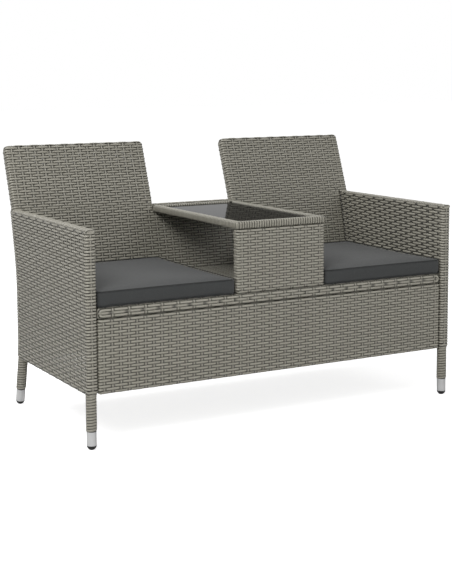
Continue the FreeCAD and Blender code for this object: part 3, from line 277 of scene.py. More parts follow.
def makeClothWeave():
    # a fine plain-woven cloth with slubs
    group, given, out = newGroup("clothWeave", 0.8)
    place = objectPlace(group)
    axes = addNode(group, "SeparateXYZ", {0: place}).outputs
    threads = [mathNode(group, "SINE", times(group, axis, 4200.0)) for axis in axes]
    plain = times(group, threads[0], threads[1])
    thread = mathNode(group, "ADD", times(group, plain, 0.5), times(group, threads[2], 0.2))
    slub, cloud, fold = (noiseNode(group, place, scale, detail) for scale, detail in ((260.0, 2), (7.0, 4), (45.0, 3)))
    share = weighed(group, -0.32, (slub, 0.5), (cloud, 0.7), (thread, 0.12), (fold, 0.25))
    setInput(group, out, "Colour", mixColour(group, share, given["Pale"], given["Deep"]))
    setInput(group, out, "Roughness", swung(group, given["Roughness"], slub, 0.2))
    height = mathNode(group, "ADD", times(group, thread, 0.5), times(group, slub, 0.6))
    setInput(group, out, "Height", height)
    return group


mottle = makeMottle()
strandGrain = makeStrandGrain()
clothWeave = makeClothWeave()


def newFinish(name, group):
    paint, tree, shader = newMaterial(name)
    pale, deep, rough, strength, depth, others = finishes[name]
    effect = tree.nodes.new("ShaderNodeGroup")
    effect.node_tree = group
    for label, value in {"Pale": (*pale, 1), "Deep": (*deep, 1), "Roughness": rough, **others}.items():
        (effect if label in effect.inputs else shader).inputs[label].default_value = value
    bumps = addNode(tree, "Bump", {"Strength": strength, "Distance": depth, "Height": effect.outputs["Height"]})
    for key, value in (("Base Color", effect.outputs["Colour"]), ("Roughness", effect.outputs["Roughness"]),
                       ("Normal", bumps.outputs["Normal"])):
        setInput(tree, shader, key, value)
    return paint


def makeGlass():
    paint, tree, shader = newMaterial("darkGlass")
    smear = noiseNode(tree, objectPlace(tree), glass["smear"], 5)
    low, high = glass["rough"]
    spread = addNode(tree, "MapRange", {"Value": smear, "To Min": low, "To Max": high})
    setInput(tree, shader, "Base Color", glass["tint"])
    setInput(tree, shader, "IOR", glass["index"])
    setInput(tree, shader, "Transmission Weight", glass["through"])
    setInput(tree, shader, "Roughness", spread.outputs["Result"])
    return paint


strandPaint = newFinish("wovenStrand", strandGrain)
# the arms get a lighter copy of the strand finish, with stronger painted shade
armPaint = newFinish("armStrand", strandGrain)
woundPaint, framePaint, silverPaint = (newFinish(name, mottle) for name in ("woundStrand", "frameCoat", "silverSleeve"))
capPaint, padPaint, zincPaint = (newFinish(name, mottle) for name in ("blackCap", "glassPad", "zincSteel"))
fabricPaint, seamPaint, zipPaint = (newFinish(name, clothWeave) for name in ("cushionCloth", "seamCord", "zipTape"))
glassPaint = makeGlass()
# finish of each carried-over piece, by a part of its name
wornBy = {"_frame": framePaint, "leg_sleeve": silverPaint, "foot_cap": capPaint, "leg_wrap": woundPaint,
          "glass_pads": padPaint, "glass_top": glassPaint, "bolt": zincPaint, "threaded": zincPaint, "_zip": zipPaint}
for node in nodes:
    for part, paint in wornBy.items():
        if part in node:
            nodes[node].data.materials.clear()
            nodes[node].data.materials.append(paint)
print("finishes ready")


# the lines that the weave follows, in metres
skinR, slimSkinR = 0.0169, 0.0134  # outside of the weave round the two tubes
bench = {
    "frontY": -0.33848,  # centre line of the front posts
    "sideX": 0.649,
    "postSpan": 0.560,
    "armZ": 0.6545 - skinR,
    "lowZ": 0.1635 + skinR,
    "seatZ": 0.4215 - skinR,
    "midX": 0.646 - 2 * skinR,
    "crossZ": 0.6477 - skinR,
    "breakZ": 0.6551,
    "splay": 13.6,
    "splayZ": 0.2035,
    "splayBend": 0.300,
    "rake": 12.8,
    "rakeZ": 0.4505,
    "rakeBend": 0.600,
}
weave = {
    "pitch": 0.0090,
    "tubeRing": skinR - 0.0014,  # middle of the weave from a full-size tube's centre line
    "slimRing": slimSkinR - 0.0014,
    "notch": 0.55,  # how far under a warp a row has to go before painted shade darkens it, on the faces and on the posts
    "postNotch": 0.78,
    "weftLift": 0.00080,
    "warpLift": 0.00075,
    "weft": {"half": 0.00448, "thick": 0.0016},
    "warp": {"half": 0.0037, "thick": 0.0013},
    "wound": {"half": 0.0042, "thick": 0.0012},
    "railStrand": {"half": 0.0040, "thick": 0.0019},
    "mitreStrand": {"half": 0.0036, "thick": 0.0012},
    # corners of a strand's section, in half widths and half thicknesses
    "section": [(-1, -0.7), (-0.45, 0.9), (0.45, 0.9), (1, -0.7), (0.6, -1), (-0.6, -1)],
    "firstWarp": 0.0056,
    "square": 5.0,  # 2 would be a round section
    "postSteps": 6,
    "faceSteps": (0, 0.16, 0.33, 0.67, 0.84),
}


def postDepth(z):
    z = np.asarray(z, float)
    splay, rake = math.radians(bench["splay"]), math.radians(bench["rake"])
    splayReach = bench["splayBend"] * math.tan(splay / 2)
    rakeReach = bench["rakeBend"] * math.tan(rake / 2)
    z1 = bench["splayZ"] - splayReach * math.cos(splay)
    z2 = bench["splayZ"] + splayReach
    z3 = bench["rakeZ"] - rakeReach
    z4 = bench["rakeZ"] + rakeReach * math.cos(rake)
    lowArc = bench["splayBend"] - np.sqrt(bench["splayBend"] ** 2 - np.clip(z2 - z, 0, z2 - z1) ** 2)
    highArc = bench["rakeBend"] - np.sqrt(bench["rakeBend"] ** 2 - np.clip(z - z3, 0, z4 - z3) ** 2)
    return bench["postSpan"] + np.where(
        z < z1, (bench["splayZ"] - z) * math.tan(splay),
        np.where(z < z2, lowArc, np.where(z < z3, 0, np.where(z < z4, highArc, (z - bench["rakeZ"]) * math.tan(rake)))))


def postY(z):
    return bench["frontY"] + postDepth(z)


def leaning(degrees):
    # the way up a leaning back, and the way that its front faces
    lean = math.radians(degrees)
    return np.array([0, math.sin(lean), math.cos(lean)]), np.array([0, -math.cos(lean), math.sin(lean)])


def unit(v):
    return v / (np.linalg.norm(v, axis=-1, keepdims=True) + 1e-12)


def points(x, y, z):
    x, y, z = np.broadcast_arrays(np.asarray(x, float), np.asarray(y, float), np.asarray(z, float))
    return np.stack([x, y, z], -1)


# height along the rear post's line, measured on the bend
lineZ = np.linspace(bench["lowZ"], bench["crossZ"], 400)
lineRun = np.concatenate([[0], np.cumsum(np.hypot(np.diff(lineZ), np.diff(postDepth(lineZ))))])


# outline of a squared section of radius 1: length from the middle of one side, and the angle there
angleTable = np.linspace(0, math.pi / 2, 181)
outlineTable = (np.cos(angleTable) ** weave["square"] + np.sin(angleTable) ** weave["square"]) ** (-1 / weave["square"])
runTable = np.concatenate([[0], np.cumsum(np.hypot(np.diff(outlineTable * np.cos(angleTable)),
                                                   np.diff(outlineTable * np.sin(angleTable))))])
quarterRun = runTable[-1]


def turnAt(run):
    # angle for a length along the squared outline, up to half way round
    run = np.asarray(run, float)
    far = run > quarterRun
    angle = np.interp(np.where(far, 2 * quarterRun - run, run), runTable, angleTable)
    return np.where(far, math.pi - angle, angle)


def squared(parts, roundFace=False):
    # reach and normal of a squared section in a direction, given along the face's normal, its width and its height
    power = weave["square"]
    size = np.abs(parts)
    if roundFace:
        flat = np.hypot(size[..., 1], size[..., 2])
        reach = (size[..., 0] ** power + flat ** power) ** (-1 / power)
        lean = flat ** (power - 2)
        normal = np.stack([size[..., 0] ** (power - 1), size[..., 1] * lean, size[..., 2] * lean], -1) * np.sign(parts)
    else:
        reach = (size ** power).sum(-1) ** (-1 / power)
        normal = size ** (power - 1) * np.sign(parts)
    return reach, unit(normal)


def armPanel(side):
    def ends(h):
        z = bench["lowZ"] + h
        x = side * bench["sideX"]
        return points(x, bench["frontY"], z), points(x, postY(z), z), points(side, 0, 0 * z)
    return {"ends": ends, "height": bench["armZ"] - bench["lowZ"] + 0.0115, "radius": weave["tubeRing"],
            "low": (0, 0, -1), "high": None, "warps": 20, "phase": 0.5, "slim": 0.94}


def backPanel():
    def ends(h):
        z = np.interp(h, lineRun, lineZ)
        y = postY(z)
        lean = np.arctan2(postDepth(z + 0.001) - postDepth(z - 0.001), 0.002)
        return points(-bench["midX"], y, z), points(bench["midX"], y, z), points(0, -np.cos(lean), np.sin(lean))
    return {"ends": ends, "height": lineRun[-1], "radius": weave["tubeRing"], "low": (0, 0, -1),
            "high": tuple(leaning(bench["rake"])[0]), "warps": 46, "phase": 0.5}


backrest = {"lean": 20.5, "inX": 0.156 + skinR, "outX": 0.6455, "top": 0.2012, "start": 0.00104, "warps": 18,
            "footDrop": 0.0042, "footReach": 0.019}


def backrestPanel(side):
    rise, facing = leaning(backrest["lean"])
    breakY = float(postY(bench["breakZ"]))

    def ends(h):
        y, z = breakY + (h - backrest["start"]) * rise[1], bench["breakZ"] + (h - backrest["start"]) * rise[2]
        inner, outer = side * backrest["inX"], side * backrest["outX"]
        a, b = (inner, outer) if side > 0 else (outer, inner)
        return points(a, y, z), points(b, y, z), points(0, facing[1], facing[2] + 0 * h)
    return {"ends": ends, "height": backrest["top"] + backrest["start"], "radius": weave["tubeRing"], "low": None,
            "high": tuple(rise), "warps": backrest["warps"], "phase": 0.5, "roundFace": True, "odd": backrest["odd"]}


def flatPanel(halfX, place, normal, along, low, high, warps, radius=weave["slimRing"], phase=0.5, opened=None):
    # place gives the point on X = 0 for a height, along is the way up; opened is the width of the lip of an open back
    def ends(h):
        spot = np.asarray(place) + np.asarray(h)[..., None] * np.asarray(along)
        shift = np.array([halfX, 0, 0])
        return spot - shift, spot + shift, points(normal[0], normal[1], normal[2] + 0 * np.asarray(h))
    return {"ends": ends, "height": high - low, "radius": radius, "low": tuple(-np.asarray(along)),
            "high": tuple(along), "warps": warps, "phase": phase, "opened": opened}


def newPile():
    return {"points": [], "quads": [], "at": [], "count": 0}


def addStrand(pile, path, normal, spec, closed=False, dip=0.0):
    # one flat strand along path, lying on a surface with these normals; dip is how much painted shade each point gets
    ahead = unit(np.roll(path, -1, 0) - np.roll(path, 1, 0) if closed else np.gradient(path, axis=0))
    across = unit(np.cross(ahead, normal))
    out = np.cross(across, ahead)
    section = np.array(weave["section"])
    sides, rises = section[:, 0] * spec["half"], section[:, 1] * spec["thick"] / 2
    ring = path[:, None, :] + across[:, None, :] * sides[None, :, None] + out[:, None, :] * rises[None, :, None]
    count, k = len(path), len(section)
    run = np.concatenate([[0], np.cumsum(np.linalg.norm(np.diff(path, axis=0), axis=1))])
    at = np.zeros((count, k, 4))
    at[:, :, 0] = run[:, None]
    at[:, :, 1] = section[:, 0]
    at[:, :, 2] = rng.random()
    at[:, :, 3] = np.broadcast_to(dip, count)[:, None]
    first = np.arange(count if closed else count - 1)
    second = (first + 1) % count
    quads = np.concatenate([np.stack([first * k + i, first * k + j, second * k + j, second * k + i], 1)
                            for i, j in zip(range(k), (*range(1, k), 0))])
    if not closed:
        last = (count - 1) * k
        caps = [[3, 2, 1, 0], [5, 4, 3, 0], [last, last + 1, last + 2, last + 3], [last, last + 3, last + 4, last + 5]]
        quads = np.concatenate([quads, np.array(caps)])
    pile["points"].append(ring.reshape(-1, 3))
    pile["at"].append(at.reshape(-1, 4))
    pile["quads"].append(quads[:, ::-1] + pile["count"])
    pile["count"] += count * k


def pileObject(name, pile, paint, body="root"):
    spots = np.concatenate(pile["points"]).astype(np.float32)
    quads = np.concatenate(pile["quads"]).astype(np.int32)
    mesh = bpy.data.meshes.new(name)
    mesh.vertices.add(len(spots))
    mesh.vertices.foreach_set("co", spots.ravel())
    mesh.loops.add(quads.size)
    mesh.loops.foreach_set("vertex_index", quads.ravel())
    mesh.polygons.add(len(quads))
    mesh.polygons.foreach_set("loop_start", np.arange(0, quads.size, 4, dtype=np.int32))
    mesh.update(calc_edges=True)
    mesh.shade_smooth()
    spread = np.concatenate(pile["at"]).astype(np.float32)
    mesh.attributes.new("strandAt", "FLOAT_VECTOR", "POINT").data.foreach_set("vector", spread[:, :3].ravel())
    mesh.attributes.new("strandDip", "FLOAT", "POINT").data.foreach_set("value", spread[:, 3])
    mesh.materials.append(paint)
    piece = newObject(name, mesh)
    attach(piece, body)
    print(f"  {name}: {len(quads)} faces")
    return piece


def rowPlace(panel, u):
    # ends, face normal, tilt and tilt direction at distances u up a panel from the underside of its rail
    u = np.asarray(u, float)
    radius = panel["radius"]
    quarter = radius * quarterRun
    low = quarter if panel["low"] else 0
    h = np.clip(u - low, 0, panel["height"])
    under = turnAt(np.clip(low - u, 0, low) / radius) if panel["low"] else 0 * u
    over = turnAt(np.clip(u - low - panel["height"], 0, quarter) / radius) if panel["high"] else 0 * u
    a, b, n = panel["ends"](h)
    low, high = (np.asarray(panel[key] or (0, 0, 0), float) for key in ("low", "high"))
    return a, b, n, under + over, np.where((under > over)[..., None], low, high)


def panelReach(panel):
    quarter = panel["radius"] * quarterRun
    return (quarter if panel["low"] else 0) + panel["height"] + (quarter if panel["high"] else 0)


def ringLine(panel, u, q):
    # core points, reach and normals of a row at height u for warp counts q; q = 0 is the middle of the first post
    a, b, n, tilt, way = rowPlace(panel, u)
    length = np.linalg.norm(b - a)
    p = (b - a) / length
    tilted = np.array([math.cos(tilt), 0.0, math.sin(tilt)])
    r = max(panel["radius"] * float(squared(tilted)[0]) * math.cos(tilt), 0.002)
    count, edge = panel["warps"], weave["firstWarp"]
    bow = 2 * quarterRun * r
    knots = [0, 1, count, count + 1, count + 2, 2 * count + 1, 2 * count + 2]
    stops = [-bow / 2, edge, length - edge, length + bow / 2, length + bow + edge, 2 * length + bow - edge,
             2 * length + 1.5 * bow]
    s = np.interp(q, knots, stops)
    s = np.where(q < 0, np.interp(q + 2 * count + 2, knots, stops) - 2 * length - 2 * bow, s)
    along = np.where(s < 0, 0, np.where(s < length, s, np.where(
        s < length + bow, length, np.clip(2 * length + bow - s, 0, length))))
    turn = np.where(s < 0, -turnAt(-s / r), np.where(s < length, 0, np.where(
        s < length + bow, turnAt((s - length) / r), np.where(
            s < 2 * length + bow, math.pi, math.pi + turnAt((s - 2 * length - bow) / r)))))
    parts = np.stack([math.cos(tilt) * np.cos(turn), math.cos(tilt) * np.sin(turn), math.sin(tilt) + 0 * turn], -1)
    reach, slope = squared(parts, panel.get("roundFace"))
    axes = np.stack([n, p, way])
    return a + p * along[:, None], (parts * reach[:, None]) @ axes, slope @ axes


def weftLift(q, k, notch=weave["notch"]):
    # how far a row stands out at warp count q, and how much painted shade it gets there, where it goes under a warp
    under = -np.cos(math.pi * q) * (-1) ** k
    fall = np.clip((under + 0.1) / 1.1, 0, 1)
    fall = fall * fall * (3 - 2 * fall)
    return weave["weftLift"] * (1 - 2.2 * fall), np.clip((under - notch) / 0.3, 0, 1)


def warpLift(wave, j):
    # how far a warp stands out, and how much painted shade it gets where it goes under a row
    over = -wave * (-1) ** j
    return weave["warpLift"] * over, np.clip(0.4 - over, 0, 1)


def weavePanel(panel, piles, rowPitch=weave["pitch"]):
    # all rows go into the first pile, all warps into the second
    reach = panelReach(panel)
    rows = int(round(reach / rowPitch))
    pitch = reach / rows
    count, radius, edge = panel["warps"], panel["radius"], weave["firstWarp"]
    odd, opened = panel.get("odd", 0), panel.get("opened")
    quarter = radius * quarterRun
    postQ = list(np.arange(0, 1, 1 / weave["postSteps"]))
    faceQ = [1 + i + step for i in range(count - 1) for step in weave["faceSteps"]]
    half = postQ + faceQ + [count + i / weave["postSteps"] for i in range(weave["postSteps"])]
    ring = np.array(half + [q + count + 1 for q in half])
    weft = dict(weave["weft"], half=weave["weft"]["half"] * panel.get("slim", 1) * pitch / weave["pitch"])
    for k in range(0 if panel["phase"] else 1, rows):
        u = (k + panel["phase"]) * pitch
        q, closed = ring, not (opened and min(u - quarter, reach - quarter - u) > opened)
        if not closed:
            stop = (opened + quarter) / (2 * quarter)
            q = np.concatenate([np.linspace(-stop, -1 / 6, 5), ring[ring <= count + 1],
                                count + 1 + np.linspace(1 / 6, stop, 5)])
        core, way, normal = ringLine(panel, u, q)
        onPost = (q < 0.9) | (np.abs(q - count - 1) < 0.9) | (q > 2 * count + 1.1)
        lift, dip = weftLift(q, k + odd, np.where(onPost, weave["postNotch"], weave["notch"]))
        if not closed:
            lift = np.where((q < 0) | (q > count + 1), -0.0002, lift)
        addStrand(piles[0], core + way * radius + normal * lift[:, None], normal, weft, closed, dip)
    u = np.arange(0, 2 * rows + 1) * pitch / 2
    wave = np.cos(math.pi * (u / pitch - panel["phase"])) * (-1) ** odd
    every = np.arange(len(u))

    def warpRun(j, picks, face=1, turned=0):
        # warp j on the front or the rear face; 0 and count + 1 run up the outer sides of the posts
        a, b, n, tilt, way = rowPlace(panel, u[picks])
        length = np.linalg.norm(b - a, axis=-1)
        p = (b - a) / length[:, None]
        facing, along = n * face, edge + (j - 1) * (length - 2 * edge) / (count - 1)
        if j in (0, count + 1):
            facing, along = (p, length) if j else (-p, 0 * length)
        parts = np.stack([np.cos(tilt), 0 * tilt, np.sin(tilt)], -1)
        stretch, slope = squared(parts)
        normal = slope[:, :1] * facing + slope[:, 2:] * way
        out = (parts[:, :1] * facing + parts[:, 2:] * way) * stretch[:, None]
        lift, dip = warpLift(wave[picks], j + turned)
        if panel["high"] is None:
            lift = np.where(u[picks] > reach - 0.006, -0.0009, lift)
        return a + p * along[:, None] + out * radius + normal * lift[:, None], normal, dip

    for j in range(1, count + 1):
        front, rear = warpRun(j, every), warpRun(j, every[::-1], -1, 1)
        closed = bool(panel["low"] and panel["high"] and not opened)
        if opened:
            lips = ((u > 0) & (u < quarter + opened), (u > reach - quarter - opened) & (u < u[-1]))
            low, top = (warpRun(j, np.flatnonzero(lip)[::-1], -1) for lip in lips)
            legs = low, front, top
        elif closed:
            legs = [x[:-1] for x in front], [x[:-1] for x in rear]
        elif panel["low"]:
            legs = [x[:-1] for x in rear], front
        else:
            legs = front, [x[1:] for x in rear]
        path, normal, dip = (np.concatenate(kind) for kind in zip(*legs))
        addStrand(piles[1], path, normal, weave["warp"], closed, dip)
    for j in (0, count + 1):
        path, normal, dip = warpRun(j, every)
        addStrand(piles[1], path, normal, weave["warp"], False, dip)


def splitPile(name, pile, paint, limit=88000):
    # objects of at most so many faces from one pile
    made, part = [], newPile()
    for spots, at, quads in zip(pile["points"], pile["at"], pile["quads"]):
        if sum(len(q) for q in part["quads"]) + len(quads) > limit:
            made.append(part)
            part = newPile()
        low = quads.min()
        part["points"].append(spots)
        part["at"].append(at)
        part["quads"].append(quads - low + part["count"])
        part["count"] += len(spots)
    made.append(part)
    if len(made) == 1:
        return [pileObject(name, part, paint)]
    return [pileObject(name + str(number + 1), part, paint) for number, part in enumerate(made)]


def finishPanel(name, piles, node, paint=strandPaint):
    for kind, pile in zip(("Rows", "Warps"), piles):
        if pile["count"]:
            for piece in splitPile(name + kind, pile, paint):
                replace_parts(piece, node)


# reach in degrees each way from the top
armRail = {"pitch": 0.0088, "reach": 62, "slant": 0.0030, "lift": 0.0004, "jitter": 0.00015, "endLift": -0.0012,
           "capTilts": (42, 56), "capTuck": 0.001}


def windRail(pile, side):
    # strands laid over the flat top of the arm, from its front edge to its rear edge
    x, z, radius = side * bench["sideX"], bench["armZ"], weave["tubeRing"]
    low = -0.8 * radius
    high = float(postDepth(z)) + 0.8 * radius
    count = int(round((high - low) / armRail["pitch"]))
    turn = np.radians(np.linspace(-armRail["reach"], armRail["reach"], 15))
    parts = np.stack([np.sin(turn), 0 * turn, np.cos(turn)], -1)
    reach, normal = squared(parts)
    # painted shade on the ends of each strand, where it turns down past the sides of the rail
    dip = np.clip((np.abs(np.degrees(turn)) - 48) / 12, 0, 1)
    for i in range(count + 1):
        y = bench["frontY"] + low + i * (high - low) / count
        lift = np.full(len(turn), armRail["lift"] + armRail["jitter"] * rng.standard_normal())
        lift[[0, -1]] = armRail["endLift"]
        path = points(x, y, z) + parts * (reach * radius)[:, None] + normal * lift[:, None]
        path[:, 1] += armRail["slant"] * parts[:, 0]
        addStrand(pile, path, normal, weave["railStrand"], False, dip)


def capPost(pile, side, rear):
    # rows over the edge where a post's face turns into the top of the arm
    radius, z = weave["tubeRing"], bench["armZ"]
    y = float(postY(z)) if rear else bench["frontY"]
    away = 1 if rear else -1
    across = np.linspace(-1, 1, 9)
    for tilt in armRail["capTilts"]:
        tilt = math.radians(tilt)
        parts = np.array([math.cos(tilt), 0, math.sin(tilt)])
        reach, slope = squared(parts)
        out = np.array([0, away * parts[0], parts[2]]) * reach * radius
        normal = np.tile([0, away * slope[0], slope[2]], (9, 1))
        path = points(side * bench["sideX"] + across * radius * 0.97, y, z) + out
        path[[0, -1]] -= normal[[0, -1]] * armRail["capTuck"]
        addStrand(pile, path, normal, weave["weft"])


for side, word in bothSides:
    piles = [newPile(), newPile()]
    weavePanel(armPanel(side), piles)
    windRail(piles[1], side)
    capPost(piles[1], side, False)
    capPost(piles[1], side, True)
    finishPanel("arm" + word.capitalize(), piles, "arm_weave_" + word, armPaint)
print("arms woven")


# the legs below the arms, wound from the sleeve up to the weave
leg = {"low": 0.0556, "high": 0.1645, "radius": 0.0158, "turns": 12, "steps": 24}


def windLeg(side, rear):
    # one strand round a leg, with a level turn at each end
    steps = leg["steps"]
    turn = np.arange((leg["turns"] + 1) * steps + 1) * 2 * math.pi / steps
    half = weave["wound"]["half"]
    rise = np.clip(turn / (2 * math.pi) - 0.5, 0, leg["turns"])
    z = leg["low"] + half + rise * (leg["high"] - leg["low"] - half) / leg["turns"]
    y = postY(z) if rear else bench["frontY"]
    lean = math.radians(bench["splay"]) if rear else 0
    normal = points(np.cos(turn), np.sin(turn) * math.cos(lean), np.sin(turn) * math.sin(lean))
    path = points(side * bench["sideX"], y, z) + normal * leg["radius"]
    pile = newPile()
    addStrand(pile, path, normal, weave["wound"])
    return pile


for side, word in bothSides:
    for rear, place in ((False, "front"), (True, "rear")):
        piece = pileObject("legWinding" + place.capitalize() + word.capitalize(), windLeg(side, rear), strandPaint)
        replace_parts(piece, f"leg_wrap_{place}_{word}")
print("legs wound")


# the back, with the stubs of weave that reach up to the backrests
piles = [newPile(), newPile()]
lowerBack = backPanel()
weavePanel(lowerBack, piles)


def shoulderRows():
    # rows that carry on from the last one on the face of the back up to the line where the backrest starts
    reach = panelReach(lowerBack)
    pitch = reach / int(round(reach / weave["pitch"]))
    stop = weave["tubeRing"] * quarterRun + lowerBack["height"]
    first = int(math.ceil(stop / pitch - 0.5))
    start = first * pitch - stop
    top = (bench["breakZ"] - bench["crossZ"]) / math.cos(math.radians(bench["rake"])) + backrest["start"]
    rows = int(round((top - start) / pitch))
    return {"first": first, "start": start, "rows": rows, "pitch": (top - start) / rows}


shoulder = shoulderRows()
backrest["odd"] = (shoulder["first"] + shoulder["rows"] - 1) % 2


def backShoulder(piles, side):
    # the rows of the back beside the notch, up to the line where the backrest starts
    radius, count, edge = weave["tubeRing"], lowerBack["warps"], weave["firstWarp"]
    step = 2 * (bench["midX"] - edge) / (count - 1)
    rise, facing = leaning(bench["rake"])
    base = np.array([0, postY(bench["crossZ"]), bench["crossZ"]])
    q = np.array([i + part for i in range(1, count) for part in weave["faceSteps"]] + [count])
    x = -bench["midX"] + edge + (q - 1) * step
    inside = x * side > backrest["inX"]
    q, x = q[inside], x[inside]
    turn = np.linspace(-math.pi / 2, math.pi / 2, 9)
    bow = squared(np.stack([np.cos(turn), np.sin(turn), 0 * turn], -1))[0][:, None] * radius
    highX, lowX = (bench["midX"], backrest["inX"]) if side > 0 else (-backrest["inX"], -bench["midX"])
    bends = [bow * (np.outer(np.cos(turn) * way, [1, 0, 0]) + np.outer(np.sin(turn), facing)) for way in (1, -1)]
    front = np.tile(facing, (len(x), 1))
    normal = unit(np.concatenate([front, bends[0], -front, bends[1]]))
    for k in range(shoulder["rows"]):
        lift, dip = weftLift(q, shoulder["first"] + k)
        spot = base + rise * (shoulder["start"] + (k + 0.5) * shoulder["pitch"])
        away = facing * (radius + lift)[:, None]
        path = np.concatenate([points(x, 0, 0) + away, bends[0] + [highX, 0, 0], (points(x, 0, 0) - away)[::-1],
                               bends[1] + [lowX, 0, 0]])
        dips = np.concatenate([dip, np.zeros(9), dip[::-1], np.zeros(9)])
        addStrand(piles[0], path + spot, normal, weave["weft"], True, dips)
    halves = np.arange(-1, 2 * shoulder["rows"] + 1) / 2
    h = shoulder["start"] + halves * shoulder["pitch"]
    wave = np.cos(math.pi * (shoulder["first"] + halves - 0.5))
    for j in range(1, count + 1):
        x = -bench["midX"] + edge + (j - 1) * step
        if x * side < backrest["inX"] + 0.004:
            continue
        lift, dip = warpLift(wave, j)
        for way in (1, -1):
            path = np.outer(h, rise) + base + [x, 0, 0] + facing * way * (radius + lift)[:, None]
            addStrand(piles[1], path, np.tile(facing * way, (len(h), 1)), weave["warp"], False, dip)


for side in (-1, 1):
    backShoulder(piles, side)
finishPanel("back", piles, "back_weave_lower")


def footRow(pile, side):
    # the row under a backrest's outer corner, where it stands over the arm
    radius = weave["tubeRing"]
    rise, facing = leaning(backrest["lean"])
    outward = np.array([side, 0.0, 0.0])
    base = np.array([side * backrest["outX"], postY(bench["breakZ"]), bench["breakZ"]])
    base = base - rise * (backrest["start"] + backrest["footDrop"])
    turn = np.linspace(0, math.pi, 13)
    parts = np.stack([np.cos(turn), np.sin(turn), 0 * turn], -1)
    reach, slope = squared(parts)
    bow = base + np.outer(reach * parts[:, 0], facing) * radius + np.outer(reach * parts[:, 1], outward) * radius
    normal = np.outer(slope[:, 0], facing) + np.outer(slope[:, 1], outward)
    path = np.vstack([bow[0] - outward * backrest["footReach"], bow])
    addStrand(pile, path, np.vstack([normal[:1], normal]), weave["weft"])


for side, word in bothSides:
    piles = [newPile(), newPile()]
    weavePanel(backrestPanel(side), piles)
    footRow(piles[0], side)
    finishPanel("backrest" + word.capitalize(), piles, "backrest_weave_" + word)
print("back and backrests woven")


seatSpec = {"front": 0.0055, "rear": 0.5252, "warps": 46, "lip": 0.022}
piles = [newPile(), newPile()]
seatPanel = flatPanel(bench["midX"], (0, bench["frontY"] + seatSpec["front"], bench["seatZ"]), (0, 0, 1), (0, 1, 0),
                      seatSpec["front"], seatSpec["rear"], seatSpec["warps"], weave["tubeRing"], 0.0, seatSpec["lip"])
weavePanel(seatPanel, piles)


def noseRow(pile):
    # the row that runs along the very front of the seat
    gaps = seatSpec["warps"] + 1
    x = np.linspace(-bench["midX"], bench["midX"], 4 * gaps + 1)
    q = np.linspace(0, gaps, len(x))
    normal = points(0 * x, -1, 0)
    lift, dip = weftLift(q, 0)
    y = bench["frontY"] + seatSpec["front"]
    path = points(x, y, bench["seatZ"]) + normal * (weave["tubeRing"] + lift)[:, None]
    turn = np.linspace(0.25, 1.1, 4)
    for side in (-1, 1):
        bendN = points(side * np.sin(turn), -np.cos(turn), 0)
        bend = points(side * bench["midX"], y, bench["seatZ"]) + bendN * weave["tubeRing"]
        if side > 0:
            path, normal = np.concatenate([path, bend]), np.concatenate([normal, bendN])
        else:
            path, normal = np.concatenate([bend[::-1], path]), np.concatenate([bendN[::-1], normal])
    addStrand(pile, path, normal, weave["weft"], False, np.concatenate([np.zeros(4), dip, np.zeros(4)]))


noseRow(piles[0])
finishPanel("seat", piles, "seat_weave")

uprights = {
    "apron": {"halfX": 0.646 - skinR - slimSkinR, "low": 0.1769, "high": 0.3735, "warps": 46, "pitch": weave["pitch"]},
    "console": {"halfX": 0.1481, "low": 0.4355, "high": 0.6080, "warps": 12, "pitch": 0.0088},
}
uprightSet = 0.0020  # how far behind the posts' line their middle lies
for word, spec in uprights.items():
    piles = [newPile(), newPile()]
    weavePanel(flatPanel(spec["halfX"], (0, bench["frontY"] + uprightSet, spec["low"]), (0, -1, 0), (0, 0, 1),
                         spec["low"], spec["high"], spec["warps"]), piles, spec["pitch"])
    finishPanel(word, piles, word + "_weave")
print("seat, apron and console woven")


# the table's rim: strand wound round a square tube, with a mitre at each corner
rim = {"x": 0.1602, "front": -0.0101, "rear": 0.57904, "lowZ": 0.6229, "topZ": 0.6455, "tube": 0.020,
       "round": 0.0055, "shortTurns": 36, "longTurns": 66,
       "out": 0.0007, "grow": 0.0014, "press": 0.0006,  # where the middle of the winding lies against the tube
       "mitreGap": 0.002, "mitreOut": 0.0004, "mitreIn": 0.001, "mitreLift": 0.0007}


def rimSection(steps=3):
    # outline of the wound tube as (in from the outer face, height), with its normals
    outer, inner, r = rim["tube"] + rim["grow"], -rim["out"], rim["round"]
    low, high = rim["lowZ"] + rim["press"], rim["topZ"] - rim["press"]
    spots, normals = [], []
    for cx, cz, start in ((outer - r, high - r, 0), (inner + r, high - r, 90), (inner + r, low + r, 180),
                          (outer - r, low + r, 270)):
        for i in range(steps + 1):
            turn = math.radians(start + 90 * i / steps)
            spots.append((cx + r * math.cos(turn), cz + r * math.sin(turn)))
            normals.append((math.cos(turn), math.sin(turn)))
    return np.array(spots), np.array(normals)


def windSide(pile, origin, alongWay, inWay, length, steps):
    # rings along one side of the rim; those near a corner stop at its mitre
    spots, normals = rimSection()
    alongWay, inWay = np.array(alongWay, float), np.array(inWay, float)
    up = np.array([0, 0, 1.0])
    for i in range(steps):
        run = (i + 0.5) * length / steps
        margin = min(run, length - run) - rim["mitreGap"]
        keep = spots[:, 0] < margin
        path = np.array(origin) + alongWay * run + inWay * spots[:, :1] + up * spots[:, 1:]
        normal = inWay * normals[:, :1] + up * normals[:, 1:]
        if keep.all():
            addStrand(pile, path, normal, weave["railStrand"], closed=True)
            continue
        # start the open ring after the part that is cut away
        order = np.roll(np.arange(len(spots)), -int(np.argmax(~keep & np.roll(keep, -1))) - 1)
        order = [n for n in order if keep[n]]
        if len(order) < 3:
            continue
        line, lineN = path[order], normal[order]
        for end, sign in ((0, -1), (-1, 1)):
            reach = max(margin - spots[order[end], 0], 0)
            extra = line[end] + inWay * reach
            if reach > 0.001 and abs(normals[order[end], 1]) > 0.9:
                line = np.vstack([line, extra][::sign])
                lineN = np.vstack([lineN[:1], lineN] if end == 0 else [lineN, lineN[-1:]])
        addStrand(pile, line, lineN, weave["railStrand"])


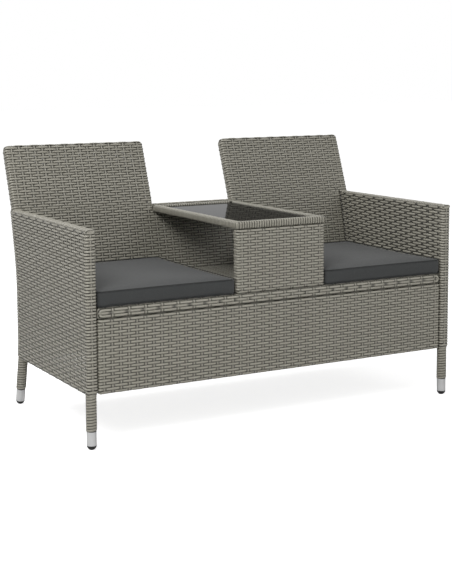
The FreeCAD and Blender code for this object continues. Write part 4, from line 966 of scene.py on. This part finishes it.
def mitreStrand(pile, corner, inX, inY):
    # the strand over a corner's mitre, on top and down the outer edge
    spots, normals = rimSection()
    way = np.array([inX, inY, 0.0])
    keep = [n for n in range(len(spots)) if normals[n, 0] < 0.2]
    up = np.array([0, 0, 1.0])
    path = np.array(corner) + way * (spots[keep, :1] - rim["mitreOut"]) + up * spots[keep, 1:]
    normal = way / math.sqrt(2) * normals[keep, :1] + up * normals[keep, 1:]
    inner = np.array(corner) + way * (rim["tube"] - rim["mitreIn"]) + up * spots[keep[0], 1]
    path, normal = np.vstack([inner, path]), np.vstack([normal[:1], normal])
    addStrand(pile, path + normal * rim["mitreLift"], normal, weave["mitreStrand"])


frontY, rearY = bench["frontY"] + rim["front"], bench["frontY"] + rim["rear"]
for word, x, y, inX, inY in (("front", -rim["x"], frontY, 0, 1), ("back", -rim["x"], rearY, 0, -1),
                             ("left", -rim["x"], frontY, 1, 0), ("right", rim["x"], frontY, -1, 0)):
    pile = newPile()
    length, turns = (rearY - frontY, rim["longTurns"]) if inX else (2 * rim["x"], rim["shortTurns"])
    windSide(pile, (x, y, 0), (abs(inY), abs(inX), 0), (inX, inY, 0), length, turns)
    if inY:
        mitreStrand(pile, (-rim["x"], y, 0), 1, inY)
        mitreStrand(pile, (rim["x"], y, 0), -1, inY)
    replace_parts(pileObject("rimWinding" + word.capitalize(), pile, strandPaint), "rim_wrap_" + word)
print("table rim wound")


cushion = {
    "lowX": 0.1627, "highX": 0.6314, "lowV": -0.0154, "highV": 0.5411, "lowZ": 0.4218, "thick": 0.048,
    "draw": 0.005, "corner": 0.016, "inset": 0.0025, "voxel": 0.0055, "cap": 0.009, "sideCap": 0.0022,
    "piping": 0.0013, "pipingZ": (0.0028, 0.0474), "quickCrown": 0.009, "frames": 20,
    "cloth": {"quality": 5, "mass": 0.3, "tension_stiffness": 22, "compression_stiffness": 22, "shear_stiffness": 8,
              "bending_stiffness": 0.8, "use_pressure": True, "uniform_pressure_force": 4},
}


def cushionOutline(inset, steps=10):
    # points round the cushion in plan, centred: four drawn-in sides and four corners
    halfX = (cushion["highX"] - cushion["lowX"]) / 2 - inset
    halfY = (cushion["highV"] - cushion["lowV"]) / 2 - inset
    r, draw = cushion["corner"], cushion["draw"]
    spots = []
    for cx, cy, start in ((halfX - r, halfY - r, 0), (r - halfX, halfY - r, 90), (r - halfX, r - halfY, 180),
                          (halfX - r, r - halfY, 270)):
        for i in range(6):
            turn = math.radians(start + 90 * i / 6)
            spots.append((cx + r * math.cos(turn), cy + r * math.sin(turn)))
        end = math.radians(start + 90)
        here = np.array([cx + r * math.cos(end), cy + r * math.sin(end)])
        reach = 2 * (halfX - r) if start in (0, 180) else 2 * (halfY - r)
        way = np.array([math.cos(end + math.pi / 2), math.sin(end + math.pi / 2)])
        inward = -np.array([math.cos(end), math.sin(end)])
        for i in range(steps + 1):
            t = i / (steps + 1)
            spots.append(tuple(here + way * reach * t + inward * draw * 4 * t * (1 - t)))
    return np.array(spots)


def cushionStart():
    # the cover before it is filled: two faces and a boxing, on a grid fine enough to remesh
    rings = []
    t, inset = cushion["thick"], cushion["inset"]
    for inward, z in ((0.010, 0.0), (inset + 0.001, 0.0012), (inset, 0.004), (inset, t / 2), (inset, t - 0.004),
                      (inset + 0.001, t - 0.0012), (0.010, t + 0.0008)):
        ring = cushionOutline(inward)
        rings.append(np.column_stack([ring, np.full(len(ring), z)]))
    count = len(rings[0])
    faces = [(low + i, low + (i + 1) % count, low + count + (i + 1) % count, low + count + i)
             for low in range(0, count * (len(rings) - 1), count) for i in range(count)]
    faces.append(tuple(range(count - 1, -1, -1)))
    faces.append(tuple((len(rings) - 1) * count + i for i in range(count)))
    mesh = bpy.data.meshes.new("cushionStart")
    mesh.from_pydata([tuple(p) for ring in rings for p in ring], [], faces)
    mesh.update()
    return newObject("cushionStart", mesh)


def evaluated(piece):
    graph = bpy.context.evaluated_depsgraph_get()
    return bpy.data.meshes.new_from_object(piece.evaluated_get(graph))


def coordinates(mesh):
    flat = np.zeros(len(mesh.vertices) * 3, np.float32)
    mesh.vertices.foreach_get("co", flat)
    return flat.reshape(-1, 3).astype(float)


def outlineGap(spots, outline):
    # distance of each point in plan to the outline
    ends = np.roll(outline, -1, 0)
    best = np.full(len(spots), 1e9)
    for a, b in zip(outline, ends):
        way = b - a
        t = np.clip(((spots - a) @ way) / (way @ way), 0, 1)
        best = np.minimum(best, np.linalg.norm(spots - (a + t[:, None] * way), axis=1))
    return best


def fillCushion():
    # the filled cover, centred in plan and standing on z = 0
    piece = cushionStart()
    grid = piece.modifiers.new("grid", "REMESH")
    grid.mode = "VOXEL"
    grid.voxel_size = cushion["voxel"]
    mesh = evaluated(piece)
    piece.modifiers.clear()
    piece.data = mesh
    start = coordinates(mesh)
    outline = cushionOutline(cushion["inset"])
    gap = outlineGap(start[:, :2], outline)
    t = cushion["thick"]
    seamed = (gap < 0.004) & ((np.abs(start[:, 2]) < 0.004) | (np.abs(start[:, 2] - t) < 0.004))
    group = piece.vertex_groups.new(name="seams")
    group.add([int(i) for i in np.flatnonzero(seamed)], 1.0, "REPLACE")
    cloth = piece.modifiers.new("filling", "CLOTH")
    for key, value in cushion["cloth"].items():
        setattr(cloth.settings, key, value)
    cloth.settings.vertex_group_mass = "seams"
    cloth.settings.effector_weights.gravity = 0
    cloth.collision_settings.use_collision = False
    scene = bpy.context.scene
    for number in range(1, cushion["frames"] + 1):
        scene.frame_set(number)
    done = evaluated(piece)
    scene.frame_set(1)
    piece.modifiers.clear()
    end = coordinates(done)
    move = end - start
    size = np.linalg.norm(move, axis=1)
    cap = cushion["cap"]
    move *= (cap * np.tanh(size / cap) / np.maximum(size, 1e-9))[:, None]
    spots = start + move
    # the boxing stays behind the neighbouring panels, and the underside lies on the seat
    flat, most = np.linalg.norm(move[:, :2], axis=1), cushion["sideCap"]
    hold = np.where((gap < 0.02) & (flat > most), most / np.maximum(flat, 1e-9), 1)
    spots[:, :2] = start[:, :2] + move[:, :2] * hold[:, None]
    spots[:, 2] = np.maximum(spots[:, 2], 0.0002)
    done.vertices.foreach_set("co", spots.astype(np.float32).ravel())
    done.update()
    piece.data = done
    smooth = piece.modifiers.new("even", "SMOOTH")
    smooth.factor, smooth.iterations = 0.5, 3
    finer = piece.modifiers.new("finer", "SUBSURF")
    finer.levels = finer.render_levels = 1
    final = evaluated(piece)
    bpy.data.objects.remove(piece)
    return final


def tubeAlong(pile, path, radius, sides=8):
    # a round cord of cloth along a closed path, as a seam
    ahead = unit(np.roll(path, -1, 0) - np.roll(path, 1, 0))
    across = unit(np.cross(ahead, [0, 0, 1.0]))
    out = np.cross(across, ahead)
    turn = np.arange(sides) * 2 * math.pi / sides
    ring = path[:, None, :] + radius * (across[:, None, :] * np.cos(turn)[None, :, None]
                                        + out[:, None, :] * np.sin(turn)[None, :, None])
    count = len(path)
    first = np.arange(count) * sides
    second = np.roll(first, -1)
    quads = [np.stack([first + i, first + j, second + j, second + i], 1)
             for i, j in zip(range(sides), (*range(1, sides), 0))]
    pile["points"].append(ring.reshape(-1, 3))
    pile["at"].append(np.zeros((count * sides, 4)))
    pile["quads"].append(np.concatenate(quads) + pile["count"])
    pile["count"] += count * sides


filled = fillCushion()
seamLine = cushionOutline(cushion["inset"] - 0.0002, 40)
for side, word in bothSides:
    body = "cushion_" + word
    middle = ((cushion["lowX"] + cushion["highX"]) / 2 * side,
              bench["frontY"] + (cushion["lowV"] + cushion["highV"]) / 2, cushion["lowZ"])
    mesh = filled.copy()
    mesh.transform(Matrix.Diagonal((side, 1, 1, 1)))
    if side < 0:
        mesh.flip_normals()
    mesh.transform(Matrix.Translation(middle))
    mesh.name = "cushionCover" + word.capitalize()
    mesh.shade_smooth()
    mesh.materials.clear()
    mesh.materials.append(fabricPaint)
    cover = newObject(mesh.name, mesh)
    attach(cover, body)
    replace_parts(cover, "cushion_cover_" + word, "cushion_foam_" + word)
    pile = newPile()
    for z in cushion["pipingZ"]:
        path = np.column_stack([seamLine[:, 0] * side, seamLine[:, 1], np.full(len(seamLine), z)]) + np.array(middle)
        tubeAlong(pile, path, cushion["piping"])
    pileObject("cushionSeams" + word.capitalize(), pile, seamPaint, body)
print("cushions filled")
